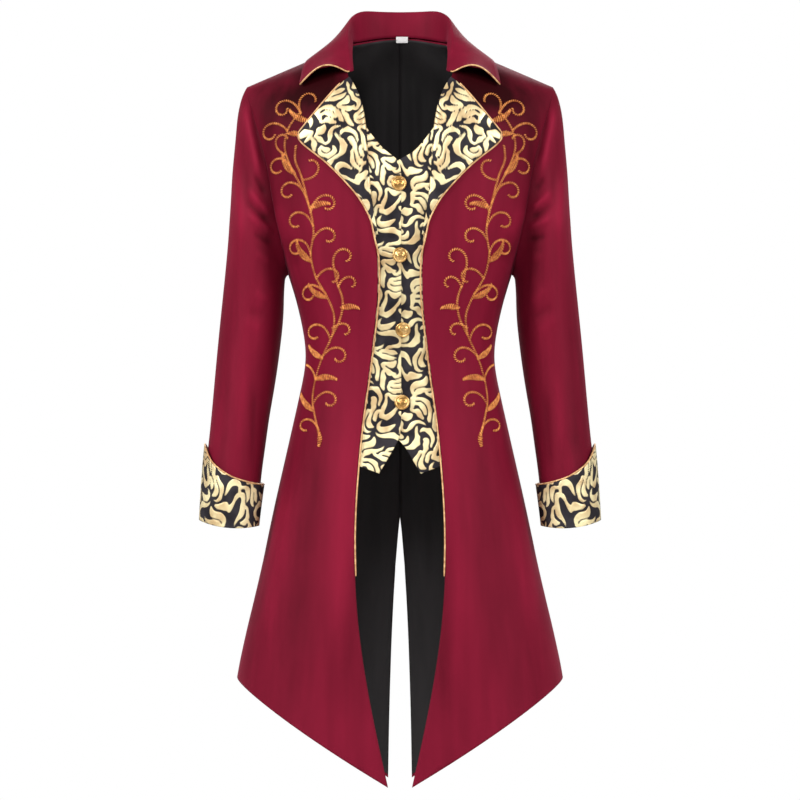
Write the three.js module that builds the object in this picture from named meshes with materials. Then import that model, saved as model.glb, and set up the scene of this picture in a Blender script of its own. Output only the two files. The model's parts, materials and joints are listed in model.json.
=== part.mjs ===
// A velvet tailcoat of a historic costume, filled out as if worn, with nobody in it.
// Millimetres, +Z up. The front faces -Y, the wearer's left is +X.
// The origin is the middle of the neck opening, level with the seam at the nape.
import * as THREE from "three";
import { mergeVertices } from "three/addons/utils/BufferGeometryUtils.js";

// Driving dimensions of the cut.
const VELVET = 2.0; // thickness of a velvet wall
const LINING = 1.0;
const BROCADE = 1.6;
const LAPEL_WALL = 2.0;
const COLLAR_WALL = 2.4;
const SEAM = 0.4; // free space between two pieces that are sewn together
const NECK_HALF = 70; // from the middle of the neck to the shoulder seam's inner end
const SHOULDER_HALF = 219; // half of the width over the shoulders
const NECK_POINT_Z = -14;
const SHOULDER_SLOPE = 0.428;
const NECK_RISE = 54; // how much further the form goes on up, over the middle of the neck
const FRONT_ROUNDING = 120; // height over which the front rounds from the shoulder seam to the chest
const BACK_ROUNDING = 100;
const SECTION_POWER = 2.4; // 2 is an ellipse, more is squarer
const ARMPIT_Z = -343;
const SHOULDER_Z = NECK_POINT_Z - (SHOULDER_HALF - NECK_HALF) * SHOULDER_SLOPE;
const BUTTON_RADIUS = 10.5;
const PIPING_RADIUS = 1.1;

// Horizontal sections of the coat, from above the shoulders to below the hem.
const BODY = [
  { z: 60, wide: 240, front: 88, back: 84 },
  { z: -14, wide: 238, front: 98, back: 92 },
  { z: -77, wide: 231, front: 109, back: 102 },
  { z: -145, wide: 214, front: 118.5, back: 112.5 },
  { z: -205, wide: 200, front: 126.5, back: 118 },
  { z: -250, wide: 191, front: 130, back: 118.5 },
  { z: -284, wide: 180, front: 131, back: 117 },
  { z: -315, wide: 169.5, front: 131, back: 114 },
  { z: -343, wide: 160, front: 130, back: 110.5 },
  { z: -382, wide: 148, front: 126, back: 103.5 },
  { z: -410, wide: 141, front: 122, back: 99 },
  { z: -439, wide: 135, front: 119, back: 95.5 },
  { z: -468, wide: 132.5, front: 116.5, back: 93.5 },
  { z: -496, wide: 138, front: 117, back: 96 },
  { z: -554, wide: 151, front: 122, back: 106.5 },
  { z: -611, wide: 164, front: 129, back: 119 },
  { z: -668, wide: 177, front: 136, back: 130.5 },
  { z: -725, wide: 189, front: 142, back: 139.5 },
  { z: -783, wide: 202, front: 147, back: 146 },
  { z: -840, wide: 215.5, front: 152, back: 152.5 },
  { z: -898, wide: 228.5, front: 156.5, back: 159 },
  { z: -930, wide: 234, front: 158.5, back: 162 },
  { z: -1100, wide: 264, front: 170, back: 178 },
];

// The front edge: the neckline, the roll line of the lapel, the opening, and the cutaway to the tip.
const FRONT_EDGE = [
  { z: -14, x: 70 },
  { z: -42, x: 74.5 },
  { z: -68, x: 75 },
  { z: -82, x: 67 },
  { z: -98, x: 60 },
  { z: -114, x: 55.2 },
  { z: -139, x: 51 },
  { z: -187, x: 48 },
  { z: -228, x: 45.2 },
  { z: -262, x: 41 },
  { z: -284, x: 36.8 },
  { z: -302, x: 33.5 },
  { z: -344, x: 30.7 },
  { z: -385, x: 31.5 },
  { z: -441, x: 37.8 },
  { z: -497, x: 44.8 },
  { z: -553, x: 53 },
  { z: -609, x: 58.6 },
  { z: -664, x: 62.8 },
  { z: -720, x: 64.6 },
  { z: -775, x: 63.2 },
  { z: -831, x: 59.8 },
  { z: -886, x: 52.8 },
  { z: -941, x: 43 },
  { z: -996, x: 31.5 },
  { z: -1052, x: 19 },
  { z: -1065, x: 16 },
];

// The middle of the back: a closed seam, and the vent from the seat down.
const BACK_EDGE = [
  { z: 10, x: 0.3 },
  { z: -600, x: 0.3 },
  { z: -690, x: 0.3 },
  { z: -732, x: 3.8 },
  { z: -791, x: 8.4 },
  { z: -850, x: 11.5 },
  { z: -939, x: 14.6 },
  { z: -1000, x: 16.2 },
  { z: -1100, x: 17.8 },
];

// The armhole, as seen from the front and the back alike.
const ARMHOLE = [
  { z: -77.8, x: 219 },
  { z: -90, x: 216.5 },
  { z: -115, x: 210 },
  { z: -145, x: 201 },
  { z: -163, x: 195.5 },
  { z: -207, x: 186 },
  { z: -250, x: 179 },
  { z: -284, x: 172 },
  { z: -315, x: 165.5 },
  { z: -343, x: 160 },
];

// Rows of a front and a back: where each meets the middle edge, and the armhole or side seam.
const ROWS = [
  { front: -14, back: -0.5, side: -77.8 },
  { front: -30, back: -14, side: -82.3 },
  { front: -48, back: -28, side: -95.6 },
  { front: -68, back: -45, side: -116.6 },
  { front: -88, back: -67, side: -144.1 },
  { front: -112, back: -93, side: -176.1 },
  { front: -140, back: -123, side: -210.4 },
  { front: -172, back: -156, side: -244.7 },
  { front: -205, back: -191, side: -276.7 },
  { front: -240, back: -228, side: -304.2 },
  { front: -275, back: -266, side: -325.2 },
  { front: -308, back: -304, side: -338.5 },
  { front: -341, back: -341, side: -343 },
  { front: -384, back: -384, side: -384 },
  { front: -428, back: -428, side: -428 },
  { front: -468, back: -468, side: -468 },
  { front: -510, back: -510, side: -510 },
  { front: -560, back: -560, side: -556 },
  { front: -621, back: -623, side: -611 },
  { front: -692, back: -696, side: -670 },
  { front: -763, back: -769, side: -727 },
  { front: -834, back: -842, side: -779 },
  { front: -905, back: -915, side: -828 },
  { front: -970, back: -983, side: -870 },
  { front: -1024, back: -1042, side: -902 },
  { front: -1062, back: -1085, side: -921 },
];

const ARMHOLE_ROWS = 12; // the rows that end at the armhole

// The sleeve: each ring's outer and inner line as seen from the front, its middle and half depth.
const SLEEVE = [
  { outX: 219, outZ: -77.8, inX: 160, inZ: -343, midY: 0, deep: 56 },
  { outX: 225.5, outZ: -92, inX: 162.5, inZ: -350, midY: 0, deep: 58 },
  { outX: 232.3, outZ: -122, inX: 164.5, inZ: -359, midY: 0, deep: 60 },
  { outX: 236, outZ: -160, inX: 166, inZ: -368, midY: 0, deep: 62.5 },
  { outX: 239.5, outZ: -205, inX: 167, inZ: -380, midY: 1, deep: 65 },
  { outX: 242.3, outZ: -255, inX: 167.2, inZ: -396, midY: 2, deep: 66 },
  { outX: 246.5, outZ: -308, inX: 168.5, inZ: -417, midY: 4, deep: 66 },
  { outX: 252, outZ: -362, inX: 171.5, inZ: -443, midY: 5, deep: 64.5 },
  { outX: 257.5, outZ: -415, inX: 175.3, inZ: -474, midY: 4, deep: 62 },
  { outX: 262.5, outZ: -468, inX: 181, inZ: -512, midY: 1, deep: 59 },
  { outX: 267, outZ: -522, inX: 188.3, inZ: -552, midY: -4, deep: 56 },
  { outX: 271.5, outZ: -575, inX: 193, inZ: -592, midY: -11, deep: 53.5 },
  { outX: 277.5, outZ: -627, inX: 199.3, inZ: -635, midY: -19, deep: 51.5 },
  { outX: 283.4, outZ: -691, inX: 203.4, inZ: -698, midY: -28, deep: 50 },
];
const ARMHOLE_BLEND = 4; // rings over which the armhole's own shape fades into the tube

// The turned cuff's upper edge, by the turn round the sleeve from its outer line.
const CUFF_TOP = [
  { turn: 0, z: -588 },
  { turn: 22.5, z: -594.5 },
  { turn: 45, z: -612.5 },
  { turn: 67.5, z: -624 },
  { turn: 90, z: -634.5 },
  { turn: 135, z: -644.5 },
  { turn: 180, z: -647 },
];
const CUFF_HEM_Z = { outer: -695, inner: -703.5 }; // on the sleeve's two lines
const CUFF_DIP = { front: 6, back: 3 }; // how much lower the hem is in the middle of each side
const CUFF_CLEAR_HEM = 2.7; // from the middle of the sleeve's wall to the middle of the cuff's
const CUFF_CLEAR_TOP = 6.5;

// The false waistcoat's right front. It buttons over the left one.
const WAISTCOAT = [
  { outX: 84, outZ: -108, inX: 62, inZ: -120 },
  { outX: 80, outZ: -135, inX: 46, inZ: -145 },
  { outX: 77, outZ: -155, inX: 25, inZ: -172 },
  { outX: 75, outZ: -180, inX: -1.5, inZ: -192 },
  { outX: 73, outZ: -240, inX: -1.5, inZ: -250 },
  { outX: 72, outZ: -300, inX: -1.5, inZ: -310 },
  { outX: 72, outZ: -360, inX: -1.5, inZ: -370 },
  { outX: 76, outZ: -420, inX: -1.5, inZ: -430 },
  { outX: 82, outZ: -490, inX: -1.5, inZ: -500 },
  { outX: 88, outZ: -556, inX: -1.5, inZ: -573 },
  { outX: 90, outZ: -580, inX: 12, inZ: -598 },
  { outX: 93, outZ: -604, inX: 29.5, inZ: -627 },
];
const UNDERLAP = 12; // how far the left front reaches past the middle, under the right one
const WAISTCOAT_DEPTH = 3.4; // from the velvet's middle to the brocade's middle
const UNDERLAP_DEPTH = 2.7; // how much deeper the left front lies at the overlap

// The lapel, turned out on the front: each row runs from the roll line to the outer edge.
const LAPEL = [
  { rollZ: -71, outX: 140, outZ: -150 },
  { rollZ: -91, outX: 140, outZ: -158 },
  { rollZ: -116, outX: 131, outZ: -168 },
  { rollZ: -150, outX: 101, outZ: -191 },
  { rollZ: -190, outX: 77, outZ: -216 },
  { rollZ: -230, outX: 56, outZ: -240 },
  { rollZ: -266, outX: 42.5, outZ: -264 },
  { rollZ: -294, outX: 34.8, outZ: -285 },
];
const LAPEL_ROLL = 3.8; // how far the roll stands past the front's edge
const LAPEL_CLEAR = 2.8; // from the velvet's middle to the lapel's middle at its outer edge
const LAPEL_CROWN = 4.5; // how much further the lapel's middle stands up

// The collar, from the middle of the back to its front end. s is the seam at the neck, r the crest
// of the fold, e the outer edge of the fall, and arch how far the fall's middle bulges.
const COLLAR = [
  { sx: 0, sy: 72, sz: 2, rx: 0, ry: 77.5, rz: 39,
    ex: 0, ey: 99, ez: -20, archY: 4, archZ: 3 },
  { sx: 27, sy: 67, sz: 0.4, rx: 30, ry: 71.5, rz: 39,
    ex: 38, ey: 92, ez: -22, archY: 4, archZ: 3 },
  { sx: 50, sy: 52, sz: -4.6, rx: 55, ry: 54.5, rz: 38,
    ex: 75, ey: 72, ez: -26, archY: 4, archZ: 4 },
  { sx: 65, sy: 28, sz: -9.6, rx: 69.5, ry: 30, rz: 27,
    ex: 107, ey: 42, ez: -31, archY: 2, archZ: 0 },
  { sx: 68.5, sy: 2, sz: -11, rx: 73.5, ry: 4, rz: 12,
    ex: 124, ey: 8, ez: -35, archY: 0, archZ: 0 },
  { sx: 67.8, sy: -26, sz: -18, rx: 75.5, ry: -28, rz: -7.5,
    ex: 133, ey: -24, ez: -46, archY: -2, archZ: 6 },
  { sx: 68.5, sy: -54, sz: -35, rx: 74, ry: -58, rz: -33.5,
    ex: 138, ey: -48, ez: -60, archY: -6, archZ: 10 },
  { sx: 66.5, sy: -79, sz: -60.5, rx: 71.5, ry: -85.5, rz: -61,
    ex: 141.5, ey: -73, ez: -79, archY: -14, archZ: 17 },
];
const FOLD_HALF = 2.8; // half of the space inside the fold
const COLLAR_CLEAR = 3.4; // from the velvet's middle to the fall's middle

const BUTTONS = [
  { x: -1.4, z: -222 },
  { x: 0, z: -322.5 },
  { x: 4.2, z: -427 },
  { x: 2.8, z: -528 },
];

const LABEL = { wide: 17, high: 9, thick: 0.6, x: 2.9, y: 68.4, z: -1.9, lean: 21 };
const PIPING_END_Z = -771;

// The piping leaves the lapel's lower end and comes down beside the front's edge. off is how far
// it lies on the velvet, from the edge, and lift how far it stands off it.
const PIPING_TURN = [
  { z: -297, off: 1.6, lift: 2.7 },
  { z: -308, off: 0, lift: 2.6 },
  { z: -318, off: -1.6, lift: 1.6 },
  { z: -329, off: -2, lift: 0.4 },
];

// Steps of each grid.
const FRONT_COLUMNS = [0, 0.08, 0.17, 0.28, 0.39, 0.5, 0.61, 0.71, 0.81, 0.91, 1];
const BACK_COLUMNS = [0, 0.035, 0.08, 0.14, 0.22, 0.32, 0.44, 0.57, 0.7, 0.82, 0.92, 1];
const SLEEVE_SIDES = 24;
const COLLAR_STEPS = 14; // on each side of the middle of the back

const finish = (colour, roughness, metalness = 0) =>
  new THREE.MeshStandardMaterial({ color: colour, roughness, metalness });
const velvet = finish("#7d1e31", 0.85);
const black = finish("#232122", 0.6);
const brocade = finish("#cbb078", 0.45);
const gold = finish("#c8974a", 0.4, 0.6);
const brass = finish("#d9a94e", 0.3, 0.9);
const white = finish("#ece8e2", 0.7);

const mix = (a, b, t) => a + (b - a) * t;
const clamp01 = (t) => Math.min(1, Math.max(0, t));
const ease = (t) => clamp01(t) ** 2 * (3 - 2 * clamp01(t));

// A smooth curve through a column of a table, at a place given by another column.
function smooth(table, key, column, at) {
  const rising = table[1][key] > table[0][key];
  let i = 0;
  while (i < table.length - 2 && (rising ? table[i + 1][key] < at : table[i + 1][key] > at)) i++;
  const slope = (j) => {
    const before = table[Math.max(0, j - 1)];
    const after = table[Math.min(table.length - 1, j + 1)];
    return (after[column] - before[column]) / (after[key] - before[key]);
  };
  const span = table[i + 1][key] - table[i][key];
  const t = clamp01((at - table[i][key]) / span);
  const a = table[i][column];
  const b = table[i + 1][column];
  return (
    (2 * t ** 3 - 3 * t ** 2 + 1) * a +
    (t ** 3 - 2 * t ** 2 + t) * span * slope(i) +
    (3 * t ** 2 - 2 * t ** 3) * b +
    (t ** 3 - t ** 2) * span * slope(i + 1)
  );
}

// A column of a table at a row number that may lie between two rows: curved, or straight.
function row(table, column, at, curved = true) {
  const numbered = table.map((values, index) => ({ index, value: values[column] }));
  if (curved) return smooth(numbered, "index", "value", at);
  const i = Math.min(table.length - 2, Math.floor(at));
  return mix(table[i][column], table[i + 1][column], at - i);
}

// The coat's form. A point is given by its distance from the middle and its height.
const ridge = (x) =>
  x > NECK_HALF
    ? NECK_POINT_Z - (x - NECK_HALF) * SHOULDER_SLOPE
    : NECK_POINT_Z + NECK_RISE * (1 - (x / NECK_HALF) ** 2);

function depth(part, x, z) {
  const share = Math.min(1, x / smooth(BODY, "z", "wide", z));
  const curve = (1 - share ** SECTION_POWER) ** (1 / SECTION_POWER);
  const rounding = part === "front" ? FRONT_ROUNDING : BACK_ROUNDING;
  const below = clamp01((ridge(x) - z) / rounding);
  return smooth(BODY, "z", part, z) * curve * Math.sqrt(1 - (1 - below) ** 2);
}

// A point on the velvet of the right side, moved outwards by lift.
function formPoint(part, x, z, lift = 0) {
  const sign = part === "front" ? -1 : 1;
  const place = (px, pz) =>
    new THREE.Vector3(-px, sign * (depth(part, Math.abs(px), pz) + SEAM / 2), pz);
  const step = 0.5;
  const across = place(x + step, z).sub(place(x - step, z));
  const up = place(x, z + step).sub(place(x, z - step));
  const normal = across.cross(up).normalize();
  if (normal.y * sign < 0) normal.negate();
  return place(x, z).addScaledVector(normal, lift);
}

// Rows of a front or back run at even turns round the section, from the middle edge to the side.
function panelPlace(part, u, v) {
  const midZ = row(ROWS, part, v);
  const sideZ = row(ROWS, "side", v);
  const edge = part === "front" ? FRONT_EDGE : BACK_EDGE;
  const midX = smooth(edge, "z", "x", midZ);
  const wideMid = smooth(BODY, "z", "wide", midZ);
  const wideSide = smooth(BODY, "z", "wide", sideZ);
  const sideX = sideZ > ARMPIT_Z ? smooth(ARMHOLE, "z", "x", sideZ) : wideSide;
  const turnOf = (share) => Math.asin(Math.min(1, share) ** (SECTION_POWER / 2));
  const turn = mix(turnOf(midX / wideMid), turnOf(sideX / wideSide), u);
  const first = midX / wideMid;
  const last = Math.min(1, sideX / wideSide);
  const across = (Math.sin(turn) ** (2 / SECTION_POWER) - first) / (last - first);
  let z = mix(midZ, sideZ, across);
  let x = mix(midX, sideX, across);
  if (sideZ < ARMPIT_Z) x = Math.sin(turn) ** (2 / SECTION_POWER) * smooth(BODY, "z", "wide", z);
  if (part === "back") {
    const neckline = x < NECK_HALF ? NECK_POINT_Z * (x / NECK_HALF) ** 2 : ridge(x);
    z += (neckline - mix(ROWS[0].back, SHOULDER_Z, across)) * (1 - ease(v / ARMHOLE_ROWS));
  }
  return { x, z, sideways: across };
}

// The outward direction of the velvet at a row and column, from points a hair apart.
function panelPoint(part, u, v, lift = 0) {
  const hair = 2e-3;
  const sign = part === "front" ? -1 : 1;
  const place = (pu, pv) => {
    const { x, z } = panelPlace(part, pu, pv);
    return new THREE.Vector3(-x, sign * (depth(part, x, z) + SEAM / 2), z);
  };
  const u0 = Math.max(0, u - hair);
  const u1 = Math.min(1, u + hair);
  const v0 = Math.max(0, v - hair);
  const v1 = Math.min(ROWS.length - 1, v + hair);
  const normal = place(u1, v)
    .sub(place(u0, v))
    .cross(place(u, v1).sub(place(u, v0)))
    .normalize();
  if (part === "back") normal.negate();
  return place(u, v).addScaledVector(normal, lift);
}

// The armhole's points by the turn round it: 0 is the shoulder, 90 the front, 180 the armpit.
function armholePoint(turn) {
  const z = mix(SHOULDER_Z, ARMPIT_Z, (1 - Math.cos(turn)) / 2);
  const x = smooth(ARMHOLE, "z", "x", z);
  const part = Math.sin(turn) >= 0 ? "front" : "back";
  const y = depth(part, x, z) * (part === "front" ? -1 : 1);
  return new THREE.Vector3(-x, Math.abs(Math.sin(turn)) < 1e-6 ? 0 : y, z);
}

function tubePoint(turn, ring, grow = 0) {
  const of = (column) => row(SLEEVE, column, ring);
  const outer = new THREE.Vector3(-of("outX"), of("midY"), of("outZ"));
  const inner = new THREE.Vector3(-of("inX"), of("midY"), of("inZ"));
  const half = outer.clone().sub(inner).multiplyScalar(0.5);
  half.setLength(half.length() + grow);
  return outer
    .add(inner)
    .multiplyScalar(0.5)
    .addScaledVector(half, Math.cos(turn))
    .add(new THREE.Vector3(0, -Math.sin(turn) * (of("deep") + grow), 0));
}

function sleevePoint(turn, ring) {
  const point = tubePoint(turn, ring);
  const fade = 1 - ease(ring / ARMHOLE_BLEND);
  const start = armholePoint(turn);
  start.x -= 2.3 * SEAM + (VELVET - SEAM / 2) * ((1 - Math.cos(turn)) / 2) + 0.6 * Math.abs(Math.sin(turn));
  return point.addScaledVector(start.sub(tubePoint(turn, 0)), fade);
}

function cuffPoint(turn, height) {
  const degrees = THREE.MathUtils.radToDeg(turn);
  const top = smooth(CUFF_TOP, "turn", "z", Math.min(degrees, 360 - degrees));
  const dip = CUFF_DIP[degrees < 180 ? "front" : "back"] * Math.sin(turn) ** 2;
  const hem = mix(CUFF_HEM_Z.outer, CUFF_HEM_Z.inner, (1 - Math.cos(turn)) / 2) - dip;
  const z = mix(hem, top, height);
  const last = SLEEVE.length - 1;
  const grow = mix(CUFF_CLEAR_HEM, CUFF_CLEAR_TOP, height);
  // The ring whose own point at this turn has this height.
  let low = last - 4;
  let high = last;
  const zAt = (ring) => tubePoint(turn, ring).z;
  if (z < zAt(last)) return tubePoint(turn, last, grow).setZ(z);
  for (let i = 0; i < 24; i++) {
    const middle = (low + high) / 2;
    if (zAt(middle) > z) low = middle;
    else high = middle;
  }
  return tubePoint(turn, (low + high) / 2, grow).setZ(z);
}

// A false waistcoat front. The right one lies on top, the left one reaches under it.
function waistcoatPoint(side, u, v) {
  const value = (column) => row(WAISTCOAT, column, v, false);
  const under = side > 0;
  let innerX = value("inX");
  if (under && innerX < 0) innerX = -UNDERLAP;
  const x = mix(value("outX"), innerX, u);
  const z = mix(value("outZ"), value("inZ"), u);
  const sewn = ease(1 - u * 4) * 0.1;
  const deeper = under ? UNDERLAP_DEPTH * ease((48 - x) / 30) : 0;
  return formPoint("front", x, z, sewn - WAISTCOAT_DEPTH - deeper);
}

// Across the lapel, u runs from inside the roll, round it, to the outer edge.
function lapelPlace(u, v) {
  const rollZ = row(LAPEL, "rollZ", v, false);
  const rollX = smooth(FRONT_EDGE, "z", "x", rollZ);
  const outX = row(LAPEL, "outX", v, false);
  const outZ = row(LAPEL, "outZ", v, false);
  const round = clamp01(u / 0.2) * Math.PI;
  const over = clamp01((u - 0.1) / 0.9);
  const past = u < 0.2 ? Math.sin(round / 2 + Math.PI / 4) ** 2 : 1 - over;
  const x = mix(rollX, outX, over) - LAPEL_ROLL * past;
  const width = Math.hypot(outX - rollX, outZ - rollZ);
  const crown = LAPEL_CROWN * Math.min(1, width / 60) * Math.sin(Math.PI * over ** 0.7);
  const lift = mix(0, LAPEL_CLEAR + crown, ease(u / 0.2));
  return { x, z: mix(rollZ, outZ, over), lift };
}

function lapelPoint(u, v) {
  const { x, z, lift } = lapelPlace(u, v);
  return formPoint("front", x, z, lift);
}

// Across the collar, t runs up the stand, over the fold and down the fall.
function collarPoint(along, t) {
  const value = (column) => row(COLLAR, column, along);
  const seam = new THREE.Vector3(-value("sx"), value("sy"), value("sz"));
  const crest = new THREE.Vector3(-value("rx"), value("ry"), value("rz"));
  const edge = new THREE.Vector3(-value("ex"), value("ey"), value("ez"));
  const outward = edge.clone().sub(crest);
  outward.z = 0;
  outward.normalize();
  const standTop = crest.clone().addScaledVector(outward, -FOLD_HALF);
  const fallTop = crest.clone().addScaledVector(outward, FOLD_HALF);
  const low = Math.min(FOLD_HALF, 0.5 * (crest.z - seam.z) + 1.5);
  standTop.z -= low;
  fallTop.z -= low;
  const STAND_END = 0.25;
  const FALL_START = 0.45;
  if (t <= STAND_END) return seam.lerp(standTop, t / STAND_END);
  if (t < FALL_START) {
    const s = (t - STAND_END) / (FALL_START - STAND_END);
    const a = standTop.clone().lerp(crest, s);
    const b = crest.clone().lerp(fallTop, s);
    const top = crest.clone();
    top.z += low * 0.6;
    return a.lerp(b, s).lerp(top, 0.6 * Math.sin(Math.PI * s));
  }
  const s = (t - FALL_START) / (1 - FALL_START);
  const bulge = Math.sin(Math.PI * s);
  const arch = new THREE.Vector3(0, value("archY") * bulge, value("archZ") * bulge);
  return clearOfForm(fallTop.lerp(edge, s).add(arch), COLLAR_CLEAR);
}

// Moves a point straight out from the middle of the shoulder until it is clear of the form.
function clearOfForm(point, clear) {
  const part = point.y < 0 ? "front" : "back";
  const rounding = part === "front" ? FRONT_ROUNDING : BACK_ROUNDING;
  const x = Math.abs(point.x);
  const share = Math.min(1, x / smooth(BODY, "z", "wide", point.z));
  const reach = smooth(BODY, "z", part, point.z) * (1 - share ** SECTION_POWER) ** (1 / SECTION_POWER);
  const up = point.z - (ridge(x) - rounding);
  const from = Math.hypot(point.y, up);
  const surface = from / Math.hypot(point.y / reach, up / rounding);
  const more = Math.max(1, (surface + clear) / from);
  return point.set(point.x, point.y * more, ridge(x) - rounding + up * more);
}

// A closed wall of cloth on a grid of middle points. A tube's columns close on themselves.
function wall(columns, rows, tube, point, thickness) {
  const across = columns.length;
  const down = rows.length;
  const middle = rows.map((v) => columns.map((u) => point(u, v)));
  const at = (r, c) => middle[clampIndex(r, down)][tube ? (c + across) % across : clampIndex(c, across)];
  const positions = [];
  for (const side of [0.5, -0.5])
    for (let r = 0; r < down; r++)
      for (let c = 0; c < across; c++) {
        const normal = at(r, c + 1)
          .clone()
          .sub(at(r, c - 1))
          .cross(at(r + 1, c).clone().sub(at(r - 1, c)))
          .normalize();
        positions.push(at(r, c).clone().addScaledVector(normal, side * thickness));
      }
  const index = (layer, r, c) => (layer * down + r) * across + (c % across);
  const faces = [];
  const quad = (a, b, c, d) => faces.push(a, b, c, a, c, d);
  const lastColumn = tube ? across : across - 1;
  for (let r = 0; r < down - 1; r++)
    for (let c = 0; c < lastColumn; c++) {
      quad(index(0, r, c), index(0, r, c + 1), index(0, r + 1, c + 1), index(0, r + 1, c));
      quad(index(1, r, c), index(1, r + 1, c), index(1, r + 1, c + 1), index(1, r, c + 1));
    }
  for (let c = 0; c < lastColumn; c++) {
    quad(index(0, 0, c), index(1, 0, c), index(1, 0, c + 1), index(0, 0, c + 1));
    quad(index(0, down - 1, c), index(0, down - 1, c + 1), index(1, down - 1, c + 1), index(1, down - 1, c));
  }
  if (!tube)
    for (let r = 0; r < down - 1; r++) {
      quad(index(0, r, 0), index(0, r + 1, 0), index(1, r + 1, 0), index(1, r, 0));
      const end = across - 1;
      quad(index(0, r, end), index(1, r, end), index(1, r + 1, end), index(0, r + 1, end));
    }
  return geometryOf(positions, faces);
}

const clampIndex = (i, count) => Math.min(count - 1, Math.max(0, i));

// A geometry from points and faces, turned right side out if its volume is negative.
function geometryOf(points, faces) {
  let volume = 0;
  for (let i = 0; i < faces.length; i += 3)
    volume += points[faces[i]].dot(points[faces[i + 1]].clone().cross(points[faces[i + 2]]));
  const turned = volume > 0 ? faces : faces.slice().reverse();
  return new THREE.BufferGeometry().setFromPoints(points).setIndex(turned);
}

// The other side of the coat: mirrored, and turned right side out again.
function mirrored(geometry) {
  const copy = geometry.clone().scale(-1, 1, 1);
  copy.setIndex(Array.from(geometry.index.array).reverse());
  return copy;
}

// A round cord along points. outward gives a direction that its first side faces.
function cord(points, radius, outward, closed = false) {
  const sides = 6;
  const count = points.length;
  const at = (i) => points[closed ? (i + count) % count : clampIndex(i, count)];
  const skin = [];
  points.forEach((centre, i) => {
    const along = at(i + 1).clone().sub(at(i - 1)).normalize();
    const first = outward(centre).projectOnPlane(along).normalize();
    const second = along.clone().cross(first);
    for (let k = 0; k < sides; k++) {
      const turn = (k / sides) * 2 * Math.PI;
      const spot = centre.clone().addScaledVector(first, radius * Math.cos(turn));
      skin.push(spot.addScaledVector(second, radius * Math.sin(turn)));
    }
  });
  const index = (i, k) => (i % count) * sides + (k % sides);
  const faces = [];
  for (let i = 0; i < (closed ? count : count - 1); i++)
    for (let k = 0; k < sides; k++) {
      faces.push(index(i, k), index(i + 1, k), index(i + 1, k + 1));
      faces.push(index(i, k), index(i + 1, k + 1), index(i, k + 1));
    }
  if (!closed)
    for (let k = 1; k < sides - 1; k++) {
      faces.push(index(0, 0), index(0, k), index(0, k + 1));
      faces.push(index(count - 1, 0), index(count - 1, k + 1), index(count - 1, k));
    }
  return geometryOf(skin, faces);
}

// Points that run beside an edge at one distance, on the side away from the points within.
function beside(edge, within, distance, closed = false) {
  const count = edge.length;
  const away = (i, j) => {
    const along = edge[j].clone().sub(edge[i]).normalize();
    return edge[i].clone().sub(within[i]).projectOnPlane(along).normalize();
  };
  return edge.map((point, i) => {
    const before = closed ? (i + count - 1) % count : Math.max(0, i - 1);
    const after = closed ? (i + 1) % count : Math.min(count - 1, i + 1);
    const one = before === i ? away(i, after) : away(before, i);
    const two = after === i ? away(before, i) : away(i, after);
    const both = one.clone().add(two).normalize();
    return point.clone().addScaledVector(both, distance / Math.max(0.5, both.dot(one)));
  });
}

const group = new THREE.Group();
function add(name, geometry, material) {
  const mesh = new THREE.Mesh(geometry, material);
  mesh.name = name;
  group.add(mesh);
}

// One piece for the wearer's right, at -X, and its mirror image for the left.
function addPair(name, geometry, material) {
  add(`${name}_right`, geometry, material);
  add(`${name}_left`, mirrored(geometry), material);
}

const evenly = (count, last = 1) => Array.from({ length: count + 1 }, (_, i) => (i / count) * last);
const allRows = evenly(ROWS.length - 1, ROWS.length - 1);

// Fronts and backs of velvet, and the lining that shows inside the backs.
function makeBody() {
  addPair("front", panelWall("front", FRONT_COLUMNS, allRows, 0, VELVET), velvet);
  addPair("back", panelWall("back", BACK_COLUMNS, allRows, 0, VELVET), velvet);
  const liningLift = -(VELVET / 2 + SEAM + 0.2 + LINING / 2);
  const liningRows = [...allRows.slice(0, -1), ROWS.length - 1.12];
  addPair("lining", panelWall("back", BACK_COLUMNS, liningRows, liningLift, LINING), black);
}

// A wall on the coat's form whose two faces lie at exact distances from it.
function panelWall(part, columns, rows, lift, thickness) {
  const points = [];
  for (const side of [0.5, -0.5])
    for (const v of rows)
      for (const u of columns) points.push(panelPoint(part, u, v, lift + side * thickness));
  return sheetOf(points, columns.length, rows.length);
}

// Closes two layers of points, one after the other, into a wall.
function sheetOf(points, across, down) {
  const index = (layer, r, c) => (layer * down + r) * across + c;
  const faces = [];
  const quad = (a, b, c, d) => faces.push(a, b, c, a, c, d);
  for (let r = 0; r < down - 1; r++)
    for (let c = 0; c < across - 1; c++) {
      quad(index(0, r, c), index(0, r, c + 1), index(0, r + 1, c + 1), index(0, r + 1, c));
      quad(index(1, r, c), index(1, r + 1, c), index(1, r + 1, c + 1), index(1, r, c + 1));
    }
  for (let c = 0; c < across - 1; c++) {
    quad(index(0, 0, c), index(1, 0, c), index(1, 0, c + 1), index(0, 0, c + 1));
    quad(index(0, down - 1, c), index(0, down - 1, c + 1), index(1, down - 1, c + 1), index(1, down - 1, c));
  }
  for (let r = 0; r < down - 1; r++) {
    quad(index(0, r, 0), index(0, r + 1, 0), index(1, r + 1, 0), index(1, r, 0));
    const end = across - 1;
    quad(index(0, r, end), index(1, r, end), index(1, r + 1, end), index(0, r + 1, end));
  }
  return geometryOf(points, faces);
}

function makeSleeves() {
  const turns = evenly(SLEEVE_SIDES, 2 * Math.PI).slice(0, -1);
  const rings = [0, 0.5, 1, 1.5, 2, 3, 4, 5, 6, 7, 8, 9, 10, 11, 12, 13];
  addPair("sleeve", wall(turns, rings, true, sleevePoint, VELVET), velvet);
  addPair("cuff", wall(turns, evenly(4), true, cuffPoint, BROCADE), brocade);
}

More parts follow.
